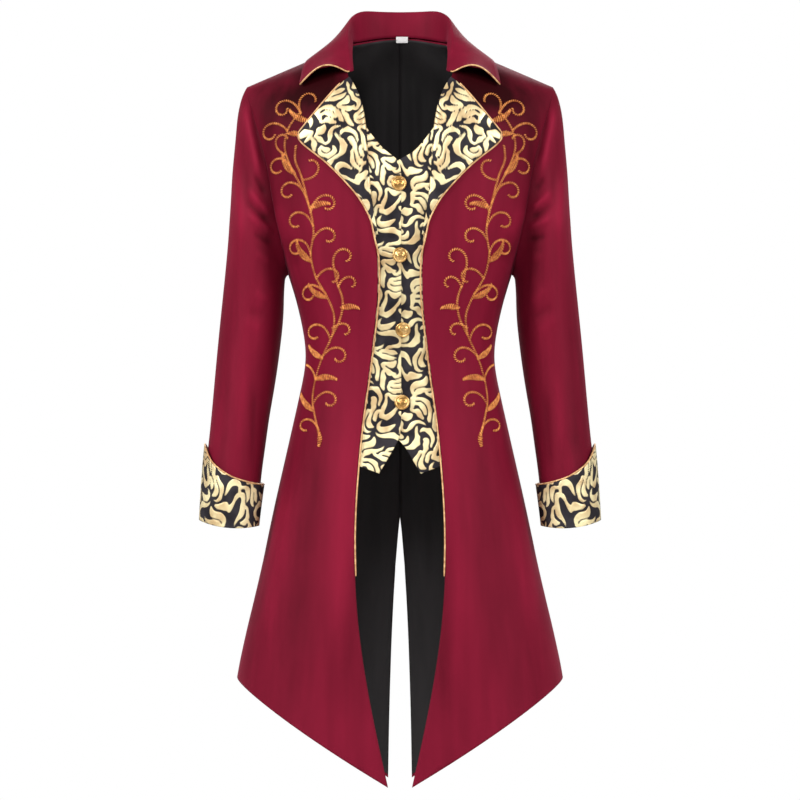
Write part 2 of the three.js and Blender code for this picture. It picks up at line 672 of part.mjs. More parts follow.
function makeWaistcoat() {
  const rows = evenly(2 * WAISTCOAT.length - 2, WAISTCOAT.length - 1);
  const columns = [0, 0.12, 0.34, 0.56, 0.78, 1];
  add("waistcoat_right", wall(columns, rows, false, (u, v) => waistcoatPoint(-1, u, v), BROCADE), brocade);
  const under = wall(columns, rows, false, (u, v) => waistcoatPoint(1, u, v), BROCADE);
  add("waistcoat_left", mirrored(under), brocade);
}

function makeLapels() {
  const rows = [0, 0.5, 1, 1.5, 2, 2.5, 3, 4, 5, 6, 7];
  const columns = [0, 0.07, 0.14, 0.22, 0.45, 0.7, 0.88, 1];
  addPair("lapel", wall(columns, rows, false, lapelPoint, LAPEL_WALL), brocade);
}

function makeCollar() {
  const stations = evenly(COLLAR_STEPS, COLLAR.length - 1);
  const both = [...stations.slice(1).reverse().map((s) => -s), ...stations];
  const point = (along, t) => {
    const place = collarPoint(Math.abs(along), t);
    if (along < 0) place.x = -place.x;
    return place;
  };
  const across = [0, 0.12, 0.25, 0.35, 0.45, 0.6, 0.8, 1];
  add("collar", wall(both, across, false, point, COLLAR_WALL), velvet);
}

// A domed shank button, turned so that its back lies on the brocade.
function makeButtons() {
  const dome = evenly(4, Math.PI / 2).map(
    (turn) => new THREE.Vector2(BUTTON_RADIUS * Math.cos(turn), 1.2 + 3.2 * Math.sin(turn)),
  );
  dome[dome.length - 1].x = 0;
  const profile = [new THREE.Vector2(0, 0), new THREE.Vector2(BUTTON_RADIUS - 1, 0), ...dome];
  BUTTONS.forEach(({ x, z }, i) => {
    const shape = withoutSlivers(new THREE.LatheGeometry(profile, 14));
    const seat = formPoint("front", -x, z, BROCADE / 2 - WAISTCOAT_DEPTH + 1.5 * SEAM);
    const out = formPoint("front", -x, z, 1).sub(formPoint("front", -x, z));
    const turn = new THREE.Quaternion().setFromUnitVectors(new THREE.Vector3(0, 1, 0), out.normalize());
    add(`button_${i + 1}`, shape.applyQuaternion(turn).translate(seat.x, seat.y, seat.z), brass);
  });
}

// Joins points that coincide, and drops faces of no area.
function withoutSlivers(geometry) {
  for (const name of ["normal", "uv"]) geometry.deleteAttribute(name);
  const joined = mergeVertices(geometry, 1e-4);
  const position = joined.getAttribute("position");
  const points = Array.from({ length: position.count }, (_, i) =>
    new THREE.Vector3().fromBufferAttribute(position, i),
  );
  const index = joined.index.array;
  const kept = [];
  for (let i = 0; i < index.length; i += 3) {
    const corners = [index[i], index[i + 1], index[i + 2]];
    if (new Set(corners).size === 3) kept.push(...corners);
  }
  return geometryOf(points, kept);
}

function makeLabel() {
  const { wide, high, thick, x, y, z, lean } = LABEL;
  const shape = new THREE.BoxGeometry(wide, thick, high).rotateX(THREE.MathUtils.degToRad(lean));
  add("label", shape.translate(x, y, z), white);
}

function makePiping() {
  const gap = PIPING_RADIUS + SEAM;
  const forward = () => new THREE.Vector3(0, -1, 0);

  const last = LAPEL.length - 1;
  const across = [0.24, 0.34, 0.46, 0.6, 0.74, 0.87, 0.96];
  const down = [0, 0.35, 0.7, 1, 1.4, 1.8, 2.3, 2.8, 3.3, 3.8, 4.3, 4.8, 5.3, 5.8, 6.3, 6.7];
  const lapelEdge = [...across.map((u) => lapelPoint(u, 0)), ...down.map((v) => lapelPoint(1, v))];
  const lapelWithin = [
    ...across.map((u) => lapelPoint(u - 0.01, 0.1)),
    ...down.map((v) => lapelPoint(0.96, Math.min(last, v + 0.1))),
  ];
  const round = beside(lapelEdge, lapelWithin, gap + 0.3);
  const turn = PIPING_TURN.map(({ z, off, lift }) =>
    formPoint("front", smooth(FRONT_EDGE, "z", "x", z) + off, z, lift),
  );
  const heights = evenly(26).map((share) => mix(-342, PIPING_END_Z, share));
  const frontEdge = heights.map((z) => formPoint("front", smooth(FRONT_EDGE, "z", "x", z), z));
  const frontWithin = heights.map((z) => formPoint("front", smooth(FRONT_EDGE, "z", "x", z) + 4, z));
  const straight = beside(frontEdge, frontWithin, gap + 0.5);
  addPair("piping_front", cord([...round, ...turn, ...straight], PIPING_RADIUS, forward), gold);

  const fall = evenly(10).map((share) => mix(0.32, 1, share));
  const end = COLLAR.length - 1;
  const collarEdge = fall.map((t) => collarPoint(end, t));
  const collarWithin = fall.map((t) => collarPoint(end - 0.1, t));
  addPair("piping_collar", cord(beside(collarEdge, collarWithin, gap), PIPING_RADIUS, forward), gold);

  const turns = evenly(SLEEVE_SIDES, 2 * Math.PI).slice(0, -1);
  const cuffEdge = turns.map((t) => cuffPoint(t, 1));
  const cuffWithin = turns.map((t) => cuffPoint(t, 0.9));
  const middle = cuffEdge.reduce((sum, point) => sum.add(point), new THREE.Vector3());
  middle.divideScalar(cuffEdge.length);
  const outward = (point) => point.clone().sub(middle).setZ(0);
  addPair("piping_cuff", cord(beside(cuffEdge, cuffWithin, gap, true), PIPING_RADIUS, outward, true), gold);
}

makeBody();
makeSleeves();
makeWaistcoat();
makeLapels();
makeCollar();
makeButtons();
makeLabel();
makePiping();

export default group;
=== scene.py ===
# %% [markdown]
# # A velvet tailcoat, filled out as if worn
# The coat hangs open in mid air with nobody in it. Its cut is already settled by the
# imported solids, so each cloth piece here starts as a copy of one solid's outer side.
# That copy is made finer, gets its listed creases, and then its real thickness back.
# The trim, which is too fine for the solids, is made new: buttons, stitches and cords.

# %% Tools and the imported coat
import json
import math
import bpy
import bmesh
import numpy as np
from mathutils import Matrix, Vector
from mathutils.bvhtree import BVHTree
from mathutils.kdtree import KDTree

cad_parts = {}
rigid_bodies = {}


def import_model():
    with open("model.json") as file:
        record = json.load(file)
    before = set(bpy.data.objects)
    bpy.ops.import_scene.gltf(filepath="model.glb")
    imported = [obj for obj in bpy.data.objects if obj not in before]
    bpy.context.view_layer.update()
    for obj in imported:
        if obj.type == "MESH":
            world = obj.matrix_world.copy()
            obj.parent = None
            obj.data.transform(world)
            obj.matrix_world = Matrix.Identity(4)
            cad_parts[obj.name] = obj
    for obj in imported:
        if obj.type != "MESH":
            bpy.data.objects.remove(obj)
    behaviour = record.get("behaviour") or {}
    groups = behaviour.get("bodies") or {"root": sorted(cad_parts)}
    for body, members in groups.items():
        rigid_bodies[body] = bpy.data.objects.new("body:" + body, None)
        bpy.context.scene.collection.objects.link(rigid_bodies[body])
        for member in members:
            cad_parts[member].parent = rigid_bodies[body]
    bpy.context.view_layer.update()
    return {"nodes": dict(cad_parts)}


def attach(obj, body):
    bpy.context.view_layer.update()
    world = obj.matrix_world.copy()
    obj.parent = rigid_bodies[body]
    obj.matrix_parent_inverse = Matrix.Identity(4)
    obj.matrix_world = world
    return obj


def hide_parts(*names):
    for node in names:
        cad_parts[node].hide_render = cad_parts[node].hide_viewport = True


MM = 0.001
MERGE = 0.02 * MM  # corners of a solid that are nearer than this are one point
for spare in list(bpy.data.objects):
    bpy.data.objects.remove(spare)
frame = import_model()
nodes = frame["nodes"]

# %% [markdown]
# ## Helpers for cloth
# A solid's wall has an outer side, an inner side and narrow rims. Walking over the
# faces without crossing a sharp edge finds each of them, and the outer side is the
# largest, because the coat is round. Its triangles are joined to quads and then
# subdivided, so that it bends like cloth and not like folded card.

# %% From a solid's wall to a fine sheet
SHARP = math.radians(62)


def copy_of(node):
    """A copy of a solid as a bmesh, with its loose triangles joined at their corners."""
    bm = bmesh.new()
    bm.from_mesh(nodes[node].data)
    bmesh.ops.remove_doubles(bm, verts=bm.verts, dist=MERGE)
    bm.normal_update()
    return bm


def to_quads(bm, flat_within):
    """Joins pairs of triangles that lie flat enough to each other, in degrees."""
    bmesh.ops.join_triangles(bm, faces=bm.faces, angle_face_threshold=math.radians(flat_within),
                             angle_shape_threshold=math.radians(120))


def outer_side(node):
    """The outer side of a cloth wall, as a bmesh of quads."""
    bm = copy_of(node)
    waiting = set(bm.faces)
    best, best_area = [], 0
    while waiting:
        stack = [waiting.pop()]
        side = []
        while stack:
            face = stack.pop()
            side.append(face)
            for edge in face.edges:
                if len(edge.link_faces) == 2 and edge.calc_face_angle(0) < SHARP:
                    for other in edge.link_faces:
                        if other in waiting:
                            waiting.remove(other)
                            stack.append(other)
        area = sum(face.calc_area() for face in side)
        if area > best_area:
            best, best_area = set(side), area
    rest = [face for face in bm.faces if face not in best]
    bmesh.ops.delete(bm, geom=rest, context="FACES")
    to_quads(bm, 60)
    return bm


def object_of(bm, name):
    mesh = bpy.data.meshes.new(name)
    bm.to_mesh(mesh)
    bm.free()
    made = bpy.data.objects.new(name, mesh)
    bpy.context.scene.collection.objects.link(made)
    return made


def refined(bm, name, levels, corners="PRESERVE_CORNERS"):
    """A smooth, finer object from a coarse bmesh."""
    made = object_of(bm, name)
    step = made.modifiers.new("finer", "SUBSURF")
    step.levels = step.render_levels = levels
    step.boundary_smooth = corners
    depsgraph = bpy.context.evaluated_depsgraph_get()
    fine = bpy.data.meshes.new_from_object(made.evaluated_get(depsgraph))
    made.modifiers.clear()
    made.data = fine
    fine.polygons.foreach_set("use_smooth", [True] * len(fine.polygons))
    return made


def points_of(made, what="co"):
    values = np.empty(len(made.data.vertices) * 3, np.float32)
    made.data.vertices.foreach_get(what, values)
    return values.reshape(-1, 3).astype(float) / (MM if what == "co" else 1)


def set_points(made, points):
    made.data.vertices.foreach_set("co", (points * MM).astype(np.float32).ravel())
    made.data.update()


def area_of(made):
    return sum(face.area for face in made.data.polygons)


# %% [markdown]
# ## Materials
# Velvet is dark when seen straight on and pale at its flanks, because its pile stands
# up. A sheen layer gives that. Broad streaks, longer than wide, are where the pile
# was brushed or the cloth hung in the hand. Everything is worked out from the place
# on the object, so a piece keeps its finish when it is repainted.

# %% Helpers for materials
def finish(name):
    made = bpy.data.materials.new(name)
    made.use_nodes = True
    tree = made.node_tree
    return made, tree, tree.nodes["Principled BSDF"]


def noise(tree, scale, stretch=(1, 1, 1), detail=3):
    """Uneven spots, fixed to the object. A small stretch draws them out along its axis."""
    place = tree.nodes.new("ShaderNodeTexCoord")
    mapping = tree.nodes.new("ShaderNodeMapping")
    mapping.inputs["Scale"].default_value = stretch
    texture = tree.nodes.new("ShaderNodeTexNoise")
    texture.inputs["Scale"].default_value = scale
    texture.inputs["Detail"].default_value = detail
    tree.links.new(place.outputs["Object"], mapping.inputs["Vector"])
    tree.links.new(mapping.outputs["Vector"], texture.inputs["Vector"])
    return texture.outputs["Fac"]


def span(tree, value, low, high, to_low=0.0, to_high=1.0):
    """Spreads a value from low..high to to_low..to_high."""
    node = tree.nodes.new("ShaderNodeMapRange")
    node.inputs["From Min"].default_value = low
    node.inputs["From Max"].default_value = high
    node.inputs["To Min"].default_value = to_low
    node.inputs["To Max"].default_value = to_high
    tree.links.new(value, node.inputs["Value"])
    return node.outputs["Result"]


def between(tree, share, first, second):
    """A colour between two, each a colour or a socket."""
    node = tree.nodes.new("ShaderNodeMix")
    node.data_type = "RGBA"
    tree.links.new(share, node.inputs["Factor"])
    for socket, value in ((node.inputs[6], first), (node.inputs[7], second)):
        if isinstance(value, tuple):
            socket.default_value = (*value, 1)
        else:
            tree.links.new(value, socket)
    return node.outputs[2]


def combined(tree, first, second, kind="MULTIPLY"):
    """Two values multiplied or added, each a number or a socket."""
    node = tree.nodes.new("ShaderNodeMath")
    node.operation = kind
    for socket, value in zip(node.inputs, (first, second)):
        if isinstance(value, (int, float)):
            socket.default_value = value
        else:
            tree.links.new(value, socket)
    return node.outputs[0]


def raised(tree, shader, height, distance, strength):
    """Shades a surface as if it stood up by so many mm where the height is 1."""
    bump = tree.nodes.new("ShaderNodeBump")
    bump.inputs["Distance"].default_value = distance * MM
    bump.inputs["Strength"].default_value = strength
    tree.links.new(height, bump.inputs["Height"])
    tree.links.new(bump.outputs["Normal"], shader.inputs["Normal"])


# %% Velvet, lining, piping, thread, metal and tape
DEEP_RED_TONE_AND_SHADE = (0.020, 0.0004, 0.0015)  # the velvet's darkest red, for painted shade and for darker random tone
PALE_RED_TONE_AND_LIGHT = (0.33, 0.0125, 0.044)  # its palest red, for painted light and for paler random tone


def make_velvet():
    made, tree, shader = finish("velvet")
    broad = span(tree, noise(tree, 7, (1.6, 1.6, 0.45), 4), 0.3, 0.7)
    streak = span(tree, noise(tree, 60, (1.0, 1.0, 0.07), 3), 0.25, 0.75)
    share = combined(tree, combined(tree, broad, 0.6), combined(tree, streak, 0.4), "ADD")
    # painted light and shade, stored on the points, moves the red between its dark and pale ends:
    # shade under the collar, at the shoulders and inside the sleeves, light on the sleeves' outer
    # sides and on crease ridges
    painted_shading = tree.nodes.new("ShaderNodeAttribute")
    painted_shading.attribute_name = "light_and_shade"
    share = combined(tree, combined(tree, share, 0.4), painted_shading.outputs["Fac"], "ADD")
    colour = between(tree, span(tree, share, -0.04, 1.4), DEEP_RED_TONE_AND_SHADE, PALE_RED_TONE_AND_LIGHT)
    tree.links.new(colour, shader.inputs["Base Color"])
    shader.inputs["Roughness"].default_value = 0.6
    shader.inputs["Specular IOR Level"].default_value = 0.05
    shader.inputs["Sheen Weight"].default_value = 0.10
    shader.inputs["Sheen Roughness"].default_value = 0.3
    shader.inputs["Sheen Tint"].default_value = (1.0, 0.3, 0.42, 1)
    pile = combined(tree, noise(tree, 1400, (1, 1, 0.7), 2), combined(tree, streak, 0.8), "ADD")
    raised(tree, shader, pile, 0.25, 0.35)
    return made


def make_lining():
    made, tree, shader = finish("lining")
    streak = noise(tree, 40, (1.0, 1.0, 0.1), 3)
    colour = between(tree, streak, (0.016, 0.015, 0.0155), (0.032, 0.029, 0.030))
    tree.links.new(colour, shader.inputs["Base Color"])
    shader.inputs["Roughness"].default_value = 0.5
    shader.inputs["Specular IOR Level"].default_value = 0.12
    weave = noise(tree, 1800, (1, 1, 1), 1)
    raised(tree, shader, weave, 0.15, 0.3)
    return made


def make_satin(name, dark, light, scale, metal, roughness):
    made, tree, shader = finish(name)
    share = span(tree, noise(tree, scale, (1, 1, 1), 2), 0.35, 0.65)
    tree.links.new(between(tree, share, dark, light), shader.inputs["Base Color"])
    shader.inputs["Metallic"].default_value = metal
    shader.inputs["Roughness"].default_value = roughness
    raised(tree, shader, noise(tree, scale * 6, (1, 1, 1), 2), 0.1, 0.35)
    return made


velvet = make_velvet()
lining = make_lining()
piping = make_satin("piping", (0.46, 0.22, 0.09), (0.78, 0.48, 0.22), 160, 0.25, 0.38)
thread = make_satin("thread", (0.46, 0.115, 0.018), (0.86, 0.35, 0.085), 220, 0.15, 0.42)
gilt = make_satin("gilt", (0.42, 0.22, 0.06), (0.74, 0.46, 0.18), 120, 0.8, 0.3)
tape = make_satin("tape", (0.90, 0.88, 0.87), (0.97, 0.96, 0.95), 300, 0.0, 0.7)
print("materials:", [m.name for m in (velvet, lining, piping, thread, gilt, tape)])

# %% [markdown]
# ## The brocade's pattern
# The brocade is black cloth with pale gold scrolls and flame-like leaves, packed so
# closely that only narrow black channels part them. Such scrollwork looks swept by
# one hand, so the strokes here follow a field of headings that swirls, and that
# repeats as the cloth does. A stroke grows both ways from its seed until it comes
# near another, and most join a neighbour at the foot, as leaves join a stem.
# The repeat is kept as a field of distances: above zero is gold, below it is black.
# Stored on the cloth's points, it gives a sharp edge at any size, which a picture
# wouldn't.

# %% The strokes of one repeat
REPEAT_WIDE = 86.0
REPEAT_HIGH = 112.0
WOVEN_SIZE = 1.28  # the whole pattern's scale on the cloth
CHANNEL = 1.8  # black left between two strokes, in mm
APART = 5.3  # from a stroke's seed to the middles of the others
NEAREST = 3.6  # to another middle line, where a growing stroke ends
SHORTEST = 12  # shorter strokes are left out
SWIRLS = [  # turns across and up the repeat, strength in radians, start
    (1, 0, 1.5, 0.4), (0, 1, 1.6, 2.1), (1, 1, 1.2, 1.0), (1, -2, 1.1, 3.0),
    (2, 1, 0.75, 5.1), (0, 3, 0.5, 0.7), (2, -1, 0.6, 4.0),
]
STEPS_ACROSS, STEPS_UP, STEPS_LONG = 0.75488, 0.56984, 0.61803  # spread numbers evenly
SEEDS = 900  # places where a stroke is tried
LEAST_LONG, VARY_LONG = 26, 40  # the least length aimed at, and what the longest adds
AHEAD, BEHIND = 0.65, 0.35  # shares of a stroke before and behind its seed
OWN_TAIL = 13  # the last places of its own run, which a stroke can't help being near
FAR_OFF = 99.0  # farther than any two strokes are apart


def heading_at(x, y):
    turn = 1.0
    for across, up, strength, begin in SWIRLS:
        phase = math.tau * (across * x / REPEAT_WIDE + up * y / REPEAT_HIGH)
        turn += strength * math.sin(phase + begin)
    return turn


def wrapped(step, size):
    """A distance along one side of a pattern that repeats."""
    return (step + size / 2) % size - size / 2


def gap_to(x, y, points):
    if not len(points):
        return FAR_OFF
    points = np.asarray(points)
    across = wrapped(points[:, 0] - x, REPEAT_WIDE)
    up = wrapped(points[:, 1] - y, REPEAT_HIGH)
    return np.hypot(across, up).min()


def grow(x, y, way, longest, taken):
    """Follows the headings one way, in steps of a millimetre."""
    run = []
    while len(run) < longest:
        turn = heading_at(x, y)
        x += way * math.cos(turn)
        y += way * math.sin(turn)
        if min(gap_to(x, y, taken), gap_to(x, y, run[:-OWN_TAIL])) < NEAREST:
            break
        run.append((x, y))
    return run


def strokes():
    lines, taken = [], np.zeros((0, 2))
    for count in range(SEEDS):
        x = (0.5 + count * STEPS_ACROSS) % 1 * REPEAT_WIDE
        y = (0.5 + count * STEPS_UP) % 1 * REPEAT_HIGH
        if gap_to(x, y, taken) < APART:
            continue
        longest = LEAST_LONG + VARY_LONG * (count * STEPS_LONG % 1)
        ahead = grow(x, y, 1, longest * AHEAD, taken)
        behind = grow(x, y, -1, longest * BEHIND, taken)
        if len(ahead) + len(behind) >= SHORTEST:
            lines.append(np.array(behind[::-1] + [(x, y)] + ahead))
            taken = np.concatenate([taken, lines[-1]])
    return lines


woven = strokes()
print(len(woven), "strokes in a repeat of the brocade")


# %% The field of distances
FAT, VARY_FAT = 3.2, 2.4  # half width of the leanest stroke, and what the fattest adds
FOOT_HALF = 1.5  # half width of a foot
LOOSE = 5  # one stroke in so many has no foot


def flame(count, widest, fat, tail=0.3):
    """Half widths along a stroke: pointed at both ends and widest at one place."""
    t = np.linspace(0, 1, count)
    rise = np.clip(t / widest, 0, 1) ** 0.7
    fall = np.clip((1 - t) / (1 - widest), 0, 1) ** 0.8
    return tail + (fat - tail) * np.minimum(rise, fall)


def foot(count):
    """A short curve from a stroke's start to the middle of its nearest neighbour."""
    others = np.concatenate([line for at, line in enumerate(woven) if at != count])
    start = woven[count][0]
    steps = wrapped(others - start, np.array((REPEAT_WIDE, REPEAT_HIGH)))
    step = steps[np.hypot(*steps.T).argmin()]
    knots = (woven[count][3], start, start + step / 2, start + step)
    t = np.linspace(0, 1, 16)[:, None]
    return sum(share * (1 - t) ** (3 - power) * t**power * knot
               for power, (share, knot) in enumerate(zip((1, 3, 3, 1), knots)))


def paint_repeat(step=0.8):
    """The field over one repeat, on a grid of small steps."""
    wide, high = round(REPEAT_WIDE / step), round(REPEAT_HIGH / step)
    gx, gy = np.meshgrid((np.arange(wide) + 0.5) * step, (np.arange(high) + 0.5) * step)

    def distances(line):
        return np.hypot(wrapped(gx[..., None] - line[:, 0], REPEAT_WIDE),
                        wrapped(gy[..., None] - line[:, 1], REPEAT_HIGH))

    form = np.full(gx.shape, -CHANNEL)
    first = np.full(gx.shape, FAR_OFF)
    second = first.copy()
    for count, line in enumerate(woven):
        fat = FAT + VARY_FAT * (count * 0.382 % 1)
        far = distances(line)
        half = flame(len(line), 0.35 + 0.3 * (count * STEPS_ACROSS % 1), fat)
        form = np.maximum(form, (half - far).max(-1))
        near = far.min(-1)
        second = np.minimum(second, np.maximum(first, near))
        first = np.minimum(first, near)
    field = np.minimum(form, (second - first - CHANNEL) / 2)
    for count in range(len(woven)):
        if count % LOOSE != LOOSE - 1:
            field = np.maximum(field, (FOOT_HALF - distances(foot(count))).max(-1))
    for axis in (0, 1):  # soft corners, as threads round them
        field = (np.roll(field, 1, axis) + 2 * field + np.roll(field, -1, axis)) / 4
    return field


repeat = paint_repeat()
print("gold covers", round(float((repeat > 0).mean()) * 100), "% of the repeat")


def brocade_at(xs, ys):
    """The repeat's field at places given in mm."""
    high, wide = repeat.shape
    px = (xs / REPEAT_WIDE / WOVEN_SIZE * wide - 0.5) % wide
    py = (ys / REPEAT_HIGH / WOVEN_SIZE * high - 0.5) % high
    x0, y0 = np.floor(px).astype(int), np.floor(py).astype(int)
    fx, fy = px - x0, py - y0
    x0, y0 = x0 % wide, y0 % high
    x1, y1 = (x0 + 1) % wide, (y0 + 1) % high
    low = repeat[y0, x0] * (1 - fx) + repeat[y0, x1] * fx
    top = repeat[y1, x0] * (1 - fx) + repeat[y1, x1] * fx
    return low * (1 - fy) + top * fy


def make_brocade():
    made, tree, shader = finish("brocade")
    field = tree.nodes.new("ShaderNodeAttribute")
    field.attribute_name = "scroll"
    gold = span(tree, field.outputs["Fac"], -0.25, 0.3)
    tone = span(tree, noise(tree, 38, (1, 1, 1), 2), 0.34, 0.62)
    ground = between(tree, tone, (0.011, 0.009, 0.012), (0.03, 0.026, 0.031))
    leaf = between(tree, tone, (0.56, 0.39, 0.19), (0.88, 0.77, 0.44))
    tree.links.new(between(tree, gold, ground, leaf), shader.inputs["Base Color"])
    tree.links.new(span(tree, gold, 0, 1, 0.62, 0.36), shader.inputs["Roughness"])
    tree.links.new(span(tree, gold, 0, 1, 0.0, 0.22), shader.inputs["Metallic"])
    tree.links.new(span(tree, gold, 0, 1, 0.12, 0.5), shader.inputs["Specular IOR Level"])
    edge = span(tree, field.outputs["Fac"], -0.4, 0.9)
    grain = combined(tree, noise(tree, 1500, (1, 1, 1), 2), 0.25)
    raised(tree, shader, combined(tree, edge, grain, "ADD"), 0.5, 0.7)
    return made


brocade = make_brocade()

# %% [markdown]
# ## Creases
# Velvet this stiff hangs nearly plain. What creases there are lie where the sleeve
# is set in, at the inner elbow, and as long shallow flutes in the skirt. Each is a
# line on the front or the back with a width and a depth. Its neighbours differ in
# length, slant and depth, because the same crease twice looks made by a machine.

# %% Tables of creases, right side, in mm
SLEEVE_FRONT = [  # x1, z1, x2, z2, width, depth outwards
    (-222, -100, -198, -212, 6, 3.2), (-212, -112, -193, -196, 4.5, -2.4),
    (-230, -130, -214, -262, 8, -2.0), (-216, -226, -184, -262, 4.5, 3.0),
    (-220, -243, -184, -274, 4, -2.8), (-216, -262, -180, -288, 4.5, 2.8),
    (-208, -288, -181, -304, 4, -2.0), (-206, -206, -190, -234, 4, -2.2),
    (-232, -196, -222, -300, 7, 1.8), (-204, -316, -184, -330, 5, 1.4),
    (-186, -384, -206, -372, 6, 1.3), (-190, -404, -214, -398, 6, -1.2),
    (-196, -425, -222, -412, 7, 1.0), (-206, -505, -210, -632, 6, -1.2),
    (-222, -480, -228, -600, 8, 1.0), (-238, -330, -244, -470, 9, -0.9),
    (-250, -560, -256, -650, 8, -0.8), (-195, -330, -199, -470, 8, 0.8),
]
SLEEVE_BACK = [
    (-222, -118, -206, -215, 8, 1.8), (-208, -130, -196, -205, 6, -1.3),
    (-212, -240, -184, -282, 6, 1.7), (-206, -262, -182, -300, 5, -1.5),
    (-236, -170, -240, -300, 10, 1.1), (-228, -330, -236, -420, 9, -1.2),
    (-190, -420, -232, -404, 6, 1.4), (-196, -446, -240, -428, 7, -1.2),
    (-204, -472, -246, -462, 7, 1.2), (-216, -520, -226, -640, 8, -1.0),
    (-246, -500, -254, -620, 9, 0.9),
]
FRONT_CREASES = [
    (-176, -250, -150, -300, 10, 1.2), (-168, -300, -142, -338, 8, -1.1),
    (-150, -360, -108, -440, 14, -0.9), (-70, -520, -92, -900, 20, 1.3),
    (-112, -560, -150, -880, 22, -1.5), (-150, -640, -190, -860, 18, 1.4),
    (-60, -700, -62, -980, 16, -1.1), (-196, -720, -206, -850, 12, -1.0),
    (-128, -180, -120, -300, 18, 0.8), (-190, -120, -178, -215, 10, -0.9),
]
BACK_CREASES = [
    (-176, -250, -148, -305, 10, 1.3), (-166, -290, -138, -345, 9, -1.1),
    (-120, -190, -100, -380, 22, -1.0), (-60, -220, -52, -420, 20, 0.9),
    (-60, -520, -78, -930, 20, 1.4), (-104, -540, -132, -900, 22, -1.6),
    (-148, -600, -184, -850, 20, 1.5), (-30, -700, -36, -1010, 16, -1.2),
    (-196, -700, -214, -850, 12, -1.1), (-70, -440, -120, -470, 14, -0.9),
]
LINING_CREASES = [
    (-20, -30, -26, -240, 8, -2.6), (-46, -60, -40, -210, 6, -1.8), (-66, -90, -60, -260, 7, -2.4),
    (-34, -640, -44, -1000, 9, -2.6), (-16, -560, -22, -900, 6, -1.8),
    (-58, -620, -70, -980, 9, -1.2), (-90, -150, -84, -330, 10, -1.1),
]


def creased(points, normals, rows, front, vary=1.0):
    """Moves points along their normals by soft lines on the front or the back."""
    # a line's depth fades towards both of its ends
    facing = np.clip(0.5 - 1.4 * normals[:, 1] * (1 if front else -1), 0, 1)
    move = np.zeros(len(points))
    for count, (x1, z1, x2, z2, width, depth) in enumerate(rows):
        depth = depth * (1 + (vary - 1) * math.sin(2.4 * count + 0.7))
        line = np.array([x2 - x1, z2 - z1])
        from_start = np.stack([points[:, 0] - x1, points[:, 2] - z1], 1)
        t = np.clip(from_start @ line / (line @ line), 0, 1)
        off = np.hypot(*(from_start - t[:, None] * line).T)
        ends = np.clip(np.minimum(t, 1 - t) * 4 + 0.15, 0, 1)
        move += depth * ends * np.exp(-((off / width) ** 2))
    return points + normals * (move * facing)[:, None]


def mirrored_rows(rows, shift):
    """The rows of the other side, moved a little so that the sides aren't twins."""
    return [(-x1 - shift, z1 - 3 * shift, -x2 + shift, z2 + 4 * shift, width, depth)
            for x1, z1, x2, z2, width, depth in rows]


print("creases a side:", [len(rows) for rows in (SLEEVE_FRONT, SLEEVE_BACK, FRONT_CREASES,
                                                 BACK_CREASES, LINING_CREASES)])

# %% [markdown]
# ## Seams
# Two sewn edges touch and pull the cloth in along the seam. The solids keep a slit
# between them. Here the back's edge is closed onto the front's, and the sleeve's onto
# both, and the cloth within a finger's breadth of a neighbour's edge sinks a little.

# %% Shut the slits and sink the seams
def edge_points(made):
    bm = bmesh.new()
    bm.from_mesh(made.data)
    found = {tuple(v.co / MM) for e in bm.edges if e.is_boundary for v in e.verts}
    bm.free()
    return np.array(sorted(found))


def grown(made, by, where=lambda point: True):
    """Moves a sheet's edge outwards in its own surface, where asked."""
    bm = bmesh.new()
    bm.from_mesh(made.data)
    push = {}
    for edge in bm.edges:
        if edge.is_boundary:
            first, second = edge.verts
            along = (second.co - first.co).normalized()
            out = (first.co + second.co) / 2 - edge.link_faces[0].calc_center_median()
            out = (out - along * out.dot(along)).normalized()
            for vert in edge.verts:
                push[vert] = push.get(vert, Vector()) + out
    for vert, out in push.items():
        if where(vert.co / MM):
            vert.co += out.normalized() * by * MM
    bm.to_mesh(made.data)
    bm.free()


def tree_of(places):
    tree = KDTree(len(places))
    for count, place in enumerate(places):
        tree.insert(place, count)
    tree.balance()
    return tree


def rim_of(bm, steps=8):
    """Places close together along the open edges of a bmesh, in mm."""
    found = []
    for edge in bm.edges:
        if edge.is_boundary:
            first, second = (np.array(vert.co) / MM for vert in edge.verts)
            found.extend(first + (second - first) * share for share in np.linspace(0, 1, steps))
    return np.array(found)


def seam_line(*sheets):
    """Places close together along the edges of some sheets."""
    found = []
    for made in sheets:
        bm = bmesh.new()
        bm.from_mesh(made.data)
        found.append(rim_of(bm))
        bm.free()
    return np.concatenate(found)


def sewn(made, line, reach, fade=14.0):
    """Closes a sheet's edge onto a seam line and eases the cloth beside it."""
    seam = tree_of(line)
    rim, moves = [], []
    for place in edge_points(made):
        target, _, off = seam.find(place)
        if off < reach:
            rim.append(place)
            moves.append(np.array(target) - place)
    edge = tree_of(rim)
    points = points_of(made)
    for count, point in enumerate(points):
        _, which, off = edge.find(point)
        if off < fade:
            points[count] += moves[which] * (1 - off / fade) ** 2
    set_points(made, points)


def sunk(points, normals, neighbours, reach=7.0, depth=0.6):
    """Lets the cloth in towards its neighbours' edges."""
    tree = tree_of(neighbours)
    off = np.array([tree.find(point)[2] for point in points])
    return points - normals * (depth * np.clip(1 - off / reach, 0, 1) ** 2)[:, None]


# %% [markdown]
# ## Fronts, backs, linings and sleeves
# These are the coat's body. Fronts and backs are cut to the same rows, so their edges
# meet all the way down. The sleeve is set into the armhole with its own seam.

